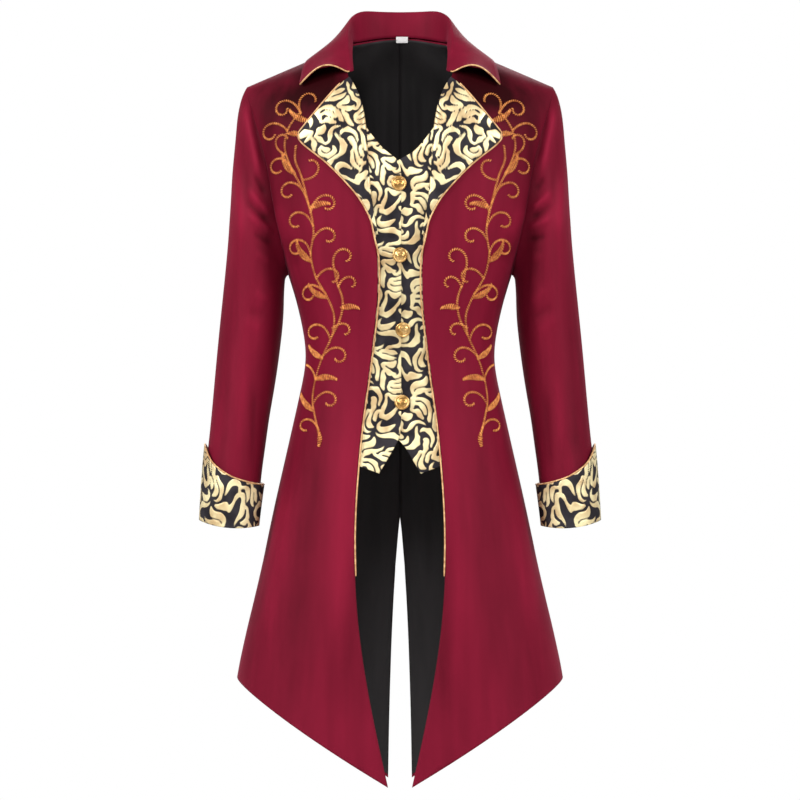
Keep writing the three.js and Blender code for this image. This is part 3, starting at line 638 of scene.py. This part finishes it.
# %% Cut the body's pieces finer
SIDES = {"right": -1, "left": 1}
BODY_LEVELS = {"front": 3, "back": 3, "lining": 2, "sleeve": 3}
VENT_X, VENT_TOP, VENT_LOW = 9, -600, -770  # where the seam opens into the vent
RIM_STEPS = 64  # places on each edge of a coarse rim, where the finer sheet is sewn to it
SHOULDER_SLIT, ARMHOLE_SLIT, VENT_SLIT = 4.5, 7.0, 2.5  # widest gaps that are sewn shut
CLOSED = 1.6  # the same for the middle of the back, above the vent
ARMHOLE_X, ARMHOLE_LOW = 150, -350  # the armhole lies outside and above these
MIDDLE_X = 1.5  # the edges of the middle seam lie nearer to the middle than this
body = {}
for part, levels in BODY_LEVELS.items():
    for side in SIDES:
        sheet = outer_side(f"{part}_{side}")
        rim = rim_of(sheet, RIM_STEPS)
        body[part, side] = refined(sheet, f"{part}_{side}_cloth", levels)
        if part in ("back", "lining"):  # smoothing has opened the vent too far up
            vent = (abs(rim[:, 0]) < VENT_X) & (rim[:, 2] < VENT_TOP) & (rim[:, 2] > VENT_LOW)
            sewn(body[part, side], rim[vent], VENT_SLIT)
        print(part, side, "area", round(area_of(body[part, side]), 3), "m2,",
              len(body[part, side].data.polygons), "faces")

relief = {}
edges = {key: edge_points(made) for key, made in body.items() if key[0] != "lining"}
for (part, side), made in body.items():
    points, normals = points_of(made), points_of(made, "normal")
    tables = {"front": [(FRONT_CREASES, True)], "back": [(BACK_CREASES, False)],
              "lining": [(LINING_CREASES, False)],
              "sleeve": [(SLEEVE_FRONT, True), (SLEEVE_BACK, False)]}[part]
    for rows, front in tables:
        rows = rows if side == "right" else mirrored_rows(rows, 1.5)
        points = creased(points, normals, rows, front, 1.0 if side == "right" else 1.25)
    relief[part, side] = ((points - points_of(made)) * normals).sum(1)
    if part == "lining":
        points = points - normals * 0.5
    else:
        others = np.concatenate([edges[key] for key in edges if key != (part, side)])
        points = sunk(points, normals, others)
    set_points(made, points)
    if part == "lining":
        # the lining stays back from the armhole's seam and meets in the middle
        grown(made, -2.5, lambda point: abs(point.x) > ARMHOLE_X and point.z > ARMHOLE_LOW)
        grown(made, 0.4, lambda point: abs(point.x) < MIDDLE_X)
        if side == "left":
            sewn(made, seam_line(body["lining", "right"]), CLOSED)
    elif part == "front":
        grown(made, 0.1)
    elif part == "back":
        sewn(made, seam_line(body["front", side]), SHOULDER_SLIT)
        if side == "left":
            sewn(made, seam_line(body["back", "right"]), CLOSED)
    else:
        sewn(made, seam_line(body["front", side], body["back", side]), ARMHOLE_SLIT)
        grown(made, 0.1)

# %% [markdown]
# Each finished sheet gets its real thickness by a wall towards the inside, its
# material, and its place in the coat. The solid it stands for is hidden, and its cut is kept in a
# list.

# %% Velvet with painted light and shade
SHADING_BASE, COLLAR_SHADING_BASE = 0.40, 0.43  # level of painted light and shade where no spot changes it
CREASE_LIGHT_AND_SHADE = 0.10  # painted light added for each mm of a crease's ridge, painted shade for each mm of its trough
# Painted shade lies under the collar, on the shoulders and down the sleeves' inner sides; painted
# light lies mostly on the sleeves' outer sides, the chest and the skirt.
SHADING_SPOTS = [  # x from the middle, z, half width, half height, how much painted light: + or painted shade: -
    (108, -90, 44, 30, -0.55), (165, -104, 56, 44, -0.42), (165, -190, 34, 80, -0.14),
    (104, -58, 40, 20, -0.50),
    (188, -240, 14, 110, -0.26), (180, -330, 12, 70, -0.06),
    (60, -300, 40, 90, 0.05), (95, -280, 45, 60, 0.10), (120, -420, 50, 80, 0.06),
    (60, -640, 60, 160, 0.07), (170, -760, 60, 120, 0.04), (110, -900, 80, 90, -0.05),
    (226, -150, 12, 60, 0.10), (238, -260, 14, 150, 0.08), (178, -420, 20, 90, -0.04),
    (216, -250, 16, 26, 0.16), (200, -330, 18, 60, -0.06), (246, -520, 20, 110, -0.10),
    (203, -560, 14, 90, -0.08),
]


# the same behind: painted shade at the shoulders, at the waist and low at the sides, painted light
# down the back and the skirt
SHADING_SPOTS_BACK = [
    (150, -110, 60, 60, -0.10), (60, -250, 50, 120, 0.06), (110, -420, 40, 90, -0.08),
    (70, -680, 60, 160, 0.07), (180, -760, 50, 120, -0.05),
]


def painted_shading(made, base, height, spots):
    """Stores painted light and shade on a sheet's points: low values are painted shade, high ones
    painted light.
    """
    points = points_of(made)
    light_and_shade = base + CREASE_LIGHT_AND_SHADE * height  # painted light over a crease's ridge and painted shade in its trough
    for x, z, wide, high, change in spots:
        off = ((abs(points[:, 0]) - x) / wide) ** 2 + ((points[:, 2] - z) / high) ** 2
        light_and_shade += change * np.exp(-off)
    held = made.data.attributes.new("light_and_shade", "FLOAT", "POINT")
    held.data.foreach_set("value", np.clip(light_and_shade, -0.35, 1.2).astype(np.float32))


for key, made in body.items():
    if key[0] != "lining":
        painted_shading(made, SHADING_BASE, relief[key], SHADING_SPOTS_BACK if key[0] == "back" else SHADING_SPOTS)
print("brushed spots a side:", len(SHADING_SPOTS), "in front,", len(SHADING_SPOTS_BACK), "behind")

# %% Thickness, finish and cut
CUTS = {  # flat width, flat length and flat area in metres, and the wall in mm
    "front": (0.290, 1.070, 0.190, 2.0), "back": (0.330, 1.110, 0.236, 2.0),
    "lining": (0.325, 1.105, 0.231, 1.0), "sleeve": (0.390, 0.640, 0.160, 2.0),
    "collar": (0.560, 0.115, 0.047, 2.4), "lapel": (0.150, 0.225, 0.012, 1.8),
    "waistcoat": (0.110, 0.500, 0.041, 1.6), "cuff": (0.370, 0.110, 0.024, 1.6),
}


def dressed(made, node, material, held, rests_on):
    """Gives a sheet its wall, finish and place, hides its solid and lists it with its cut."""
    wide, long, area, wall = CUTS[node.split("_")[0]]
    step = made.modifiers.new("wall", "SOLIDIFY")
    step.thickness = wall * MM
    step.offset = -1
    step.use_quality_normals = True
    made.data.materials.clear()
    made.data.materials.append(material)
    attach(made, "root")
    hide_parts(node)
    waiting_sheets.append((made, (wide, long), held, rests_on, area))


waiting_sheets = []
for side in SIDES:
    dressed(body["front", side], f"front_{side}", velvet, "hung", ["collar"])
    dressed(body["back", side], f"back_{side}", velvet, "hung", ["collar"])
    dressed(body["lining", side], f"lining_{side}", lining, "hung", [f"back_{side}"])
    dressed(body["sleeve", side], f"sleeve_{side}", velvet, "hung", [f"front_{side}"])

# %% [markdown]
# ## Collar
# The collar is one velvet piece that stands up from the neck seam and falls over
# itself. It is thicker than the fronts, because it holds an interlining.

# %% Collar
COLLAR_FRONT = -60  # the collar's two short front edges lie further forward than this
COLLAR_SLIT = 4.0  # the most that smoothing has drawn them in
sheet = outer_side("collar")
rim = rim_of(sheet, RIM_STEPS)
collar = refined(sheet, "collar_cloth", 2)
sewn(collar, rim[rim[:, 1] < COLLAR_FRONT], COLLAR_SLIT)
grown(collar, 0.25)
# the collar gets one even level of the painted light and shade, with no spots
held = collar.data.attributes.new("light_and_shade", "FLOAT", "POINT")
held.data.foreach_set("value", np.full(len(collar.data.vertices), COLLAR_SHADING_BASE, np.float32))
dressed(collar, "collar", velvet, "folded", ["back_right", "back_left"])
print("collar area", round(area_of(collar), 4), "m2")

# %% [markdown]
# ## Brocade pieces
# The lapels, the false waistcoat and the turned cuffs are all cut from the brocade.
# They are divided more finely than the velvet, to carry the pattern on their points.
# The cloth's grain runs down the waistcoat, slants on the lapels, which are cut on
# the turn, and runs round the cuffs.

# %% Lapels, waistcoat fronts and cuffs
def patterned(made, xs, ys):
    """Stores the brocade's field on a sheet's points."""
    held = made.data.attributes.new("scroll", "FLOAT", "POINT")
    held.data.foreach_set("value", brocade_at(xs, ys).astype(np.float32))


def turned(points, degrees):
    """The places of points seen from the front, turned."""
    c, s = math.cos(math.radians(degrees)), math.sin(math.radians(degrees))
    return points[:, 0] * c - points[:, 2] * s, points[:, 0] * s + points[:, 2] * c


LAPEL_SLANT = -34  # degrees that the cloth's grain is turned on a lapel
LEFT_ACROSS, LEFT_UP = 37, 58  # where else on the cloth the waistcoat's left front is cut
CUFF_REPEATS = 3  # of the pattern, round a cuff
CUFF_ACROSS, CUFF_UP, CUFF_PRESS = 20, 31, 0.9  # where it starts, and its share in height
waistcoats = {}
for side, hand in SIDES.items():
    lapel = refined(outer_side(f"lapel_{side}"), f"lapel_{side}_cloth", 3)
    waistcoat = refined(outer_side(f"waistcoat_{side}"), f"waistcoat_{side}_cloth", 4)
    cuff = refined(outer_side(f"cuff_{side}"), f"cuff_{side}_cloth", 3)
    for made in (lapel, waistcoat, cuff):
        grown(made, 0.2)
        print(made.name, "area", round(area_of(made), 4), "m2,", len(made.data.polygons), "faces")
    patterned(lapel, *turned(points_of(lapel) * (-hand, 1, 1), LAPEL_SLANT))
    points = points_of(waistcoat)
    patterned(waistcoat, points[:, 0] + (0 if hand < 0 else LEFT_ACROSS),
              points[:, 2] + (0 if hand < 0 else LEFT_UP))
    points = points_of(cuff)
    middle = points.mean(0)
    around = np.arctan2(points[:, 1] - middle[1], (points[:, 0] - middle[0]) * hand)
    patterned(cuff, around / math.tau * REPEAT_WIDE * WOVEN_SIZE * CUFF_REPEATS + CUFF_ACROSS,
              points[:, 2] * CUFF_PRESS + CUFF_UP)
    waistcoats[side] = waistcoat
    dressed(lapel, f"lapel_{side}", brocade, "folded", [f"front_{side}"])
    dressed(waistcoat, f"waistcoat_{side}", brocade, "hung", [f"front_{side}"])
    dressed(cuff, f"cuff_{side}", brocade, "folded", [f"sleeve_{side}"])

# %% [markdown]
# ## Piping
# The piping is a thin satin cord, sewn into the edges. The solids hold its whole
# route, so a finer copy of each is enough. Subdividing pulls a thin cord in, and its
# points are moved out first to keep its thickness.

# %% Piping cords
CORD_SWELL = 0.3  # what subdividing takes off a cord all round
cords = {}
for name in sorted(nodes):
    if name.startswith("piping"):
        bm = copy_of(name)
        for vert in bm.verts:
            vert.co += vert.normal * CORD_SWELL * MM
        to_quads(bm, 70)
        cords[name] = refined(bm, f"{name}_cord", 2)
        cords[name].data.materials.clear()
        cords[name].data.materials.append(piping)
        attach(cords[name], "root")
        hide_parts(name)
print("cords:", len(cords))

# %% [markdown]
# ## Buttons
# The buttons are stamped gilt metal: a domed middle with a rosette, a groove, and a
# rope-like rim. A profile of a few points is spun round, and the rosette and the
# rope are then pressed into its points. Each takes its place from its solid.

# %% Domed buttons with a rosette
PROFILE = [  # radius and height of a button's outer side, as shares of its size
    (0.0, 0.98), (0.12, 1.0), (0.25, 0.97), (0.38, 0.90), (0.50, 0.78), (0.60, 0.62),
    (0.66, 0.50), (0.70, 0.46), (0.75, 0.47), (0.82, 0.56), (0.89, 0.58), (0.96, 0.50),
    (1.0, 0.34), (0.99, 0.16), (0.93, 0.04), (0.60, 0.0), (0.0, 0.0),
]


def button(node):
    """A button spun from the profile, with its size, place and tilt from its solid."""
    solid = np.array([v.co for v in nodes[node].data.vertices]) / MM
    centre = (solid.max(0) + solid.min(0)) / 2
    axes = np.linalg.eigh(np.cov((solid - solid.mean(0)).T))[1]  # thinnest way first
    axis = Vector(axes[:, 0]) * (-1 if axes[1, 0] > 0 else 1)
    along = (solid - centre) @ np.array(axis)
    low, high = along.min(), along.max()
    across = np.linalg.norm((solid - centre) - along[:, None] * np.array(axis), axis=1).max()
    bm = bmesh.new()
    ring = [bm.verts.new((share * across, 0, up * (high - low))) for share, up in PROFILE]
    lines = [bm.edges.new(pair) for pair in zip(ring, ring[1:])]
    bmesh.ops.spin(bm, geom=ring + lines, axis=(0, 0, 1), cent=(0, 0, 0), steps=48,
                   angle=math.tau, use_merge=True)
    bmesh.ops.remove_doubles(bm, verts=bm.verts, dist=0.01)
    bmesh.ops.subdivide_edges(bm, edges=bm.edges, cuts=1, use_grid_fill=True, smooth=0.6)
    bmesh.ops.recalc_face_normals(bm, faces=bm.faces)
    for vert in bm.verts:
        out = math.hypot(vert.co.x, vert.co.y) / across
        angle = math.atan2(vert.co.y, vert.co.x)
        if vert.co.z > 0.3 * (high - low):
            petals = math.sin(3 * angle + 9 * out)
            inner = math.exp(-(((out - 0.36) / 0.16) ** 2))
            bud = math.exp(-((out / 0.12) ** 2))
            rope = math.exp(-(((out - 0.87) / 0.09) ** 2)) * math.sin(26 * angle + 14 * out)
            vert.co.z += 0.32 * inner * petals + 0.3 * bud + 0.12 * rope
    top = max(vert.co.z for vert in bm.verts)
    bmesh.ops.scale(bm, vec=(1, 1, (high - low) / top), verts=bm.verts)
    turn = Vector((0, 0, 1)).rotation_difference(axis).to_matrix().to_4x4()
    place = Matrix.Translation(Vector(centre) + axis * low) @ turn
    bmesh.ops.transform(bm, matrix=Matrix.Scale(MM, 4) @ place, verts=bm.verts)
    made = object_of(bm, f"{node}_gilt")
    made.data.polygons.foreach_set("use_smooth", [True] * len(made.data.polygons))
    made.data.materials.append(gilt)
    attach(made, "root")
    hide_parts(node)
    return made


buttons = [button(name) for name in sorted(nodes) if name.startswith("button")]
print("buttons:", len(buttons), "with", len(buttons[0].data.polygons), "faces each")

# %% [markdown]
# ## Embroidery
# Scrolls in an orange-gold rope stitch run down each front, from beside the lapel to
# below the waist. A real one is a strand laid on the cloth and caught down with
# slanted stitches, which is what shows. So each strand here is a row of small slanted
# stitches along a curve, joined into one mesh a side, and every stitch is set on the
# cloth where it lies. The curves are fern-like bends, tightest at their tips.

# %% Lines of the embroidery, right side, in mm from the middle
STEMS = [  # a smooth line through these places
    [(140, -120), (156, -141), (162, -168), (154, -196), (139, -224), (127, -254), (121, -288),
     (125, -320), (118, -352), (102, -380), (92, -408), (96, -436), (108, -462), (118, -492),
     (123, -524), (119, -550), (113, -576)],
    [(146, -168), (147, -188), (138, -212), (127, -254)],
    [(96, -436), (84, -412), (80, -386), (88, -360), (92, -340)],
]
CURLS = [  # foot x, z, heading (0 outwards, 90 up), length, radius at foot, radius at tip
    (140, -120, 62, 78, -90, -6.5), (139, -122, 66, 56, 44, 8), (158, -146, 48, 74, -70, -7),
    (160, -180, 25, 50, 60, 7), (152, -200, 70, 68, -34, -7), (134, -216, 175, 50, -40, -8),
    (134, -234, 60, 66, -60, -7), (125, -262, 105, 74, 120, 7), (122, -280, 68, 70, -70, -7),
    (122, -300, 118, 62, 70, 6.5), (125, -322, 82, 68, -60, -7), (117, -354, 125, 54, 80, 7),
    (104, -376, 52, 68, -80, -6.5), (92, -342, 76, 64, 60, 7), (86, -366, 112, 44, 50, 5.5),
    (98, -440, 78, 70, -60, -7), (109, -464, 128, 66, 80, 6.5), (119, -496, 80, 68, -60, -7),
    (122, -530, 118, 66, 80, 6.5), (114, -568, 70, 52, -60, -6), (94, -424, 140, 40, 60, 5.5),
]
LEAVES = [  # foot x, z, heading, length, half width at the widest
    (128, -133, 10, 34, 3.8), (147, -207, 35, 36, 4.2), (126, -256, 150, 30, 3.8),
    (124, -330, 30, 38, 4.2), (103, -381, 15, 34, 3.6), (82, -396, 165, 26, 3.6),
    (119, -496, 160, 32, 3.8), (121, -540, 30, 34, 3.6), (113, -572, 262, 20, 2.6),
    (157, -150, 178, 24, 3.2), (109, -466, 25, 28, 3.4),
]
PITCH = 3.3  # between stitches
STITCH_LONG, STITCH_WIDE, STITCH_HIGH = 2.5, 0.95, 1.2  # half sizes of one stitch
ROPE_SLOPE = 0.6  # how far a stitch leans along its strand
LEAF_STEPS, LEAF_BEND = 30, (60, 26)  # places along a leaf, and its radii at foot and tip
LEAF_FILL = 0.8  # its outer strands lie at this share of its half width
IN_FRONT = -600  # well before the coat, from where stitches are dropped on it
SUNK_IN = 0.45  # a stitch's middle lies this share of its half height above the cloth


def through(places, steps=10):
    """A smooth line through some places."""
    p = np.array([places[0], *places, places[-1]], float)
    t = np.linspace(0, 1, steps, endpoint=False)[:, None]
    parts = []
    for a, b, c, d in zip(p, p[1:], p[2:], p[3:]):
        parts.append(0.5 * (2 * b + (c - a) * t + (2 * a - 5 * b + 4 * c - d) * t**2
                            + (3 * b - 3 * c + d - a) * t**3))
    return np.concatenate([*parts, p[-1:]])


def evenly(line, pitch):
    """Places at even steps along a line. Only its first three columns count as distance."""
    far = np.linalg.norm(np.diff(line[:, :3], axis=0), axis=1)
    far = np.concatenate([[0], np.cumsum(far)])
    at = np.arange(0, far[-1], pitch)
    return np.stack([np.interp(at, far, column) for column in line.T], 1)


def bend(x, y, heading, length, start_radius, end_radius, steps):
    """Points and headings along a curve whose bend grows evenly, like a fern's."""
    along = np.linspace(0, length, steps)
    first, last = 1 / start_radius, 1 / end_radius
    turn = math.radians(heading) + first * along + (last - first) * along**2 / (2 * length)
    step = length / (steps - 1)
    xs = x + np.concatenate([[0], np.cumsum(np.cos(turn[:-1]) * step)])
    ys = y + np.concatenate([[0], np.cumsum(np.sin(turn[:-1]) * step)])
    return xs, ys, turn


def strands():
    """Every stem, curl and leaf as a line of places 1 mm apart."""
    lines = [through(places) for places in STEMS]
    for x, z, heading, length, foot, tip in CURLS:
        lines.append(np.stack(bend(x, z, heading, length, foot, tip, 60)[:2], 1))
    for x, z, heading, length, half in LEAVES:
        xs, ys, turn = bend(x, z, heading, length, *LEAF_BEND, LEAF_STEPS)
        swell = flame(LEAF_STEPS, 0.35, half, 0.1)
        for share in (-1, 0, 1):
            lines.append(np.stack([xs - np.sin(turn) * swell * share * LEAF_FILL,
                                   ys + np.cos(turn) * swell * share * LEAF_FILL], 1))
    return [evenly(line, 1.0) for line in lines]


def stitched(name, lines, hand, cloth, yarn, pitch, sizes, slope):
    """One mesh of slanted stitches, each laid on the cloth. slope 0 lays them straight across."""
    long, wide, high = sizes
    depsgraph = bpy.context.evaluated_depsgraph_get()
    ground = BVHTree.FromObject(cloth, depsgraph)
    bm = bmesh.new()
    bmesh.ops.create_uvsphere(bm, u_segments=6, v_segments=4, radius=1)
    bm.verts.ensure_lookup_table()
    form = np.array([v.co for v in bm.verts])
    faces = [[v.index for v in f.verts] for f in bm.faces]
    bm.free()
    all_points, all_faces = [], []
    for line in lines:
        laid = []
        for x, z in line:
            start = Vector((x * hand, IN_FRONT, z)) * MM
            spot, normal, *_ = ground.ray_cast(start, Vector((0, 1, 0)))
            if spot is not None and normal.y < -0.2:
                laid.append((*(spot / MM), *normal))
        if len(laid) < 4:
            continue
        laid = evenly(np.array(laid), pitch)
        for place, ahead in zip(laid, np.gradient(laid, axis=0)):
            normal = Vector(place[3:]).normalized()
            forward = Vector(ahead[:3])
            forward = (forward - normal * forward.dot(normal)).normalized()
            aside = normal.cross(forward)
            slant = (forward * slope + aside * 0.9 * hand).normalized()
            across = normal.cross(slant)
            axes = np.array([slant * long, across * wide, normal * high])
            base = place[:3] + np.array(normal) * high * SUNK_IN
            all_faces.extend([[i + len(all_points) * len(form) for i in f] for f in faces])
            all_points.append(form @ axes + base)
    mesh = bpy.data.meshes.new(name)
    mesh.from_pydata((np.concatenate(all_points) * MM).tolist(), [], all_faces)
    mesh.polygons.foreach_set("use_smooth", [True] * len(mesh.polygons))
    mesh.materials.append(yarn)
    made = bpy.data.objects.new(name, mesh)
    bpy.context.scene.collection.objects.link(made)
    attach(made, "root")
    print(name, "has", len(all_points), "stitches")
    return made


scrolls = strands()
for side, hand in SIDES.items():
    made = stitched(f"embroidery_{side}", scrolls, hand, body["front", side], thread, PITCH,
                    (STITCH_LONG, STITCH_WIDE, STITCH_HIGH), ROPE_SLOPE)

# %% [markdown]
# Each button goes through a worked buttonhole in the right front of the waistcoat. What
# shows of it above the button is a short row of black stitches, set straight across.

# %% Worked buttonholes
BUTTONHOLE_LONG, BUTTONHOLE_UP = 13.0, 11.5  # its length, and its height over the button
BUTTONHOLE_PAST = 5  # how far it reaches past the button's middle on its short side
HOLE_STEPS = 14  # places along one
HOLE_PITCH, HOLE_STITCH = 0.8, (1.5, 0.5, 0.6)  # between its stitches, and their half sizes
holes = []
for made in buttons:
    middle = points_of(made).mean(0)
    start = -middle[0] - BUTTONHOLE_PAST
    along = np.linspace(start, start + BUTTONHOLE_LONG, HOLE_STEPS)
    holes.append(np.stack([along, np.full(HOLE_STEPS, middle[2] + BUTTONHOLE_UP)], 1))
buttonholes = stitched("buttonholes", holes, -1, waistcoats["right"], lining, HOLE_PITCH,
                       HOLE_STITCH, 0)

# %% [markdown]
# ## Label
# The label is a narrow white tape, left bare. It keeps its solid, with a woven finish.

# %% Label
nodes["label"].data.materials.clear()
nodes["label"].data.materials.append(tape)

# %% Go through the listed sheets, reading each one's side from its name
for made, flat, held, rests_on, area in waiting_sheets:
    side = "right" if "right" in made.name else "left"

# %% [markdown]
# ## Floor, light and camera
# The coat hangs free above a plain pale floor. The light is soft and comes from all
# round, with a little more from the upper front, and the camera looks at it level.

# %% Stage
FLOOR_HALF, FLOOR_Z = 1.15, -1.25  # metres
AIM = Vector((0, 0, -0.5))  # where the lights point, in the coat's middle
WORLD_LIT, WORLD_SEEN = 0.38, 1.0  # strength as light, and as the white behind the coat
bm = bmesh.new()
bmesh.ops.create_grid(bm, x_segments=1, y_segments=1, size=FLOOR_HALF)
floor = object_of(bm, "floor")
floor.location = (0, 0, FLOOR_Z)
pale, tree, shader = finish("pale floor")
shader.inputs["Base Color"].default_value = (0.85, 0.85, 0.85, 1)
shader.inputs["Roughness"].default_value = 0.8
floor.data.materials.append(pale)

world = bpy.data.worlds.new("studio")
world.use_nodes = True
tree = world.node_tree
sky = tree.nodes["Background"]
sky.inputs["Color"].default_value = (1, 1, 1, 1)
seen = tree.nodes.new("ShaderNodeLightPath")
strength = span(tree, seen.outputs["Is Camera Ray"], 0, 1, WORLD_LIT, WORLD_SEEN)
tree.links.new(strength, sky.inputs["Strength"])
bpy.context.scene.world = world
bpy.context.scene.view_settings.view_transform = "Standard"

LIGHTS = [  # name, place in metres, size, watts
    ("left", (-2.6, -1.7, 1.1), 0.9, 88), ("right", (2.6, -1.8, 0.9), 0.9, 70),
    ("front", (-0.4, -4.2, 1.6), 1.1, 74), ("back", (0.3, 3.2, 1.2), 2.0, 60),
]
for name, place, size, watts in LIGHTS:
    lamp = bpy.data.lights.new(name, "AREA")
    lamp.size = size
    lamp.energy = watts
    stand = bpy.data.objects.new(name, lamp)
    stand.location = place
    stand.rotation_euler = (AIM - stand.location).to_track_quat("-Z", "Y").to_euler()
    bpy.context.scene.collection.objects.link(stand)

CAMERA_AT, LENS = (0, -5.0, -0.525), 157  # metres, and mm on a sensor of 36 mm
camera = bpy.data.objects.new("camera", bpy.data.cameras.new("camera"))
camera.data.sensor_width = 36
camera.data.lens = LENS
camera.location = CAMERA_AT
camera.rotation_euler = (math.radians(90), 0, 0)
bpy.context.scene.collection.objects.link(camera)
bpy.context.scene.camera = camera
print("lights:", len(LIGHTS), "camera", -CAMERA_AT[1], "m before the coat, lens", LENS, "mm")
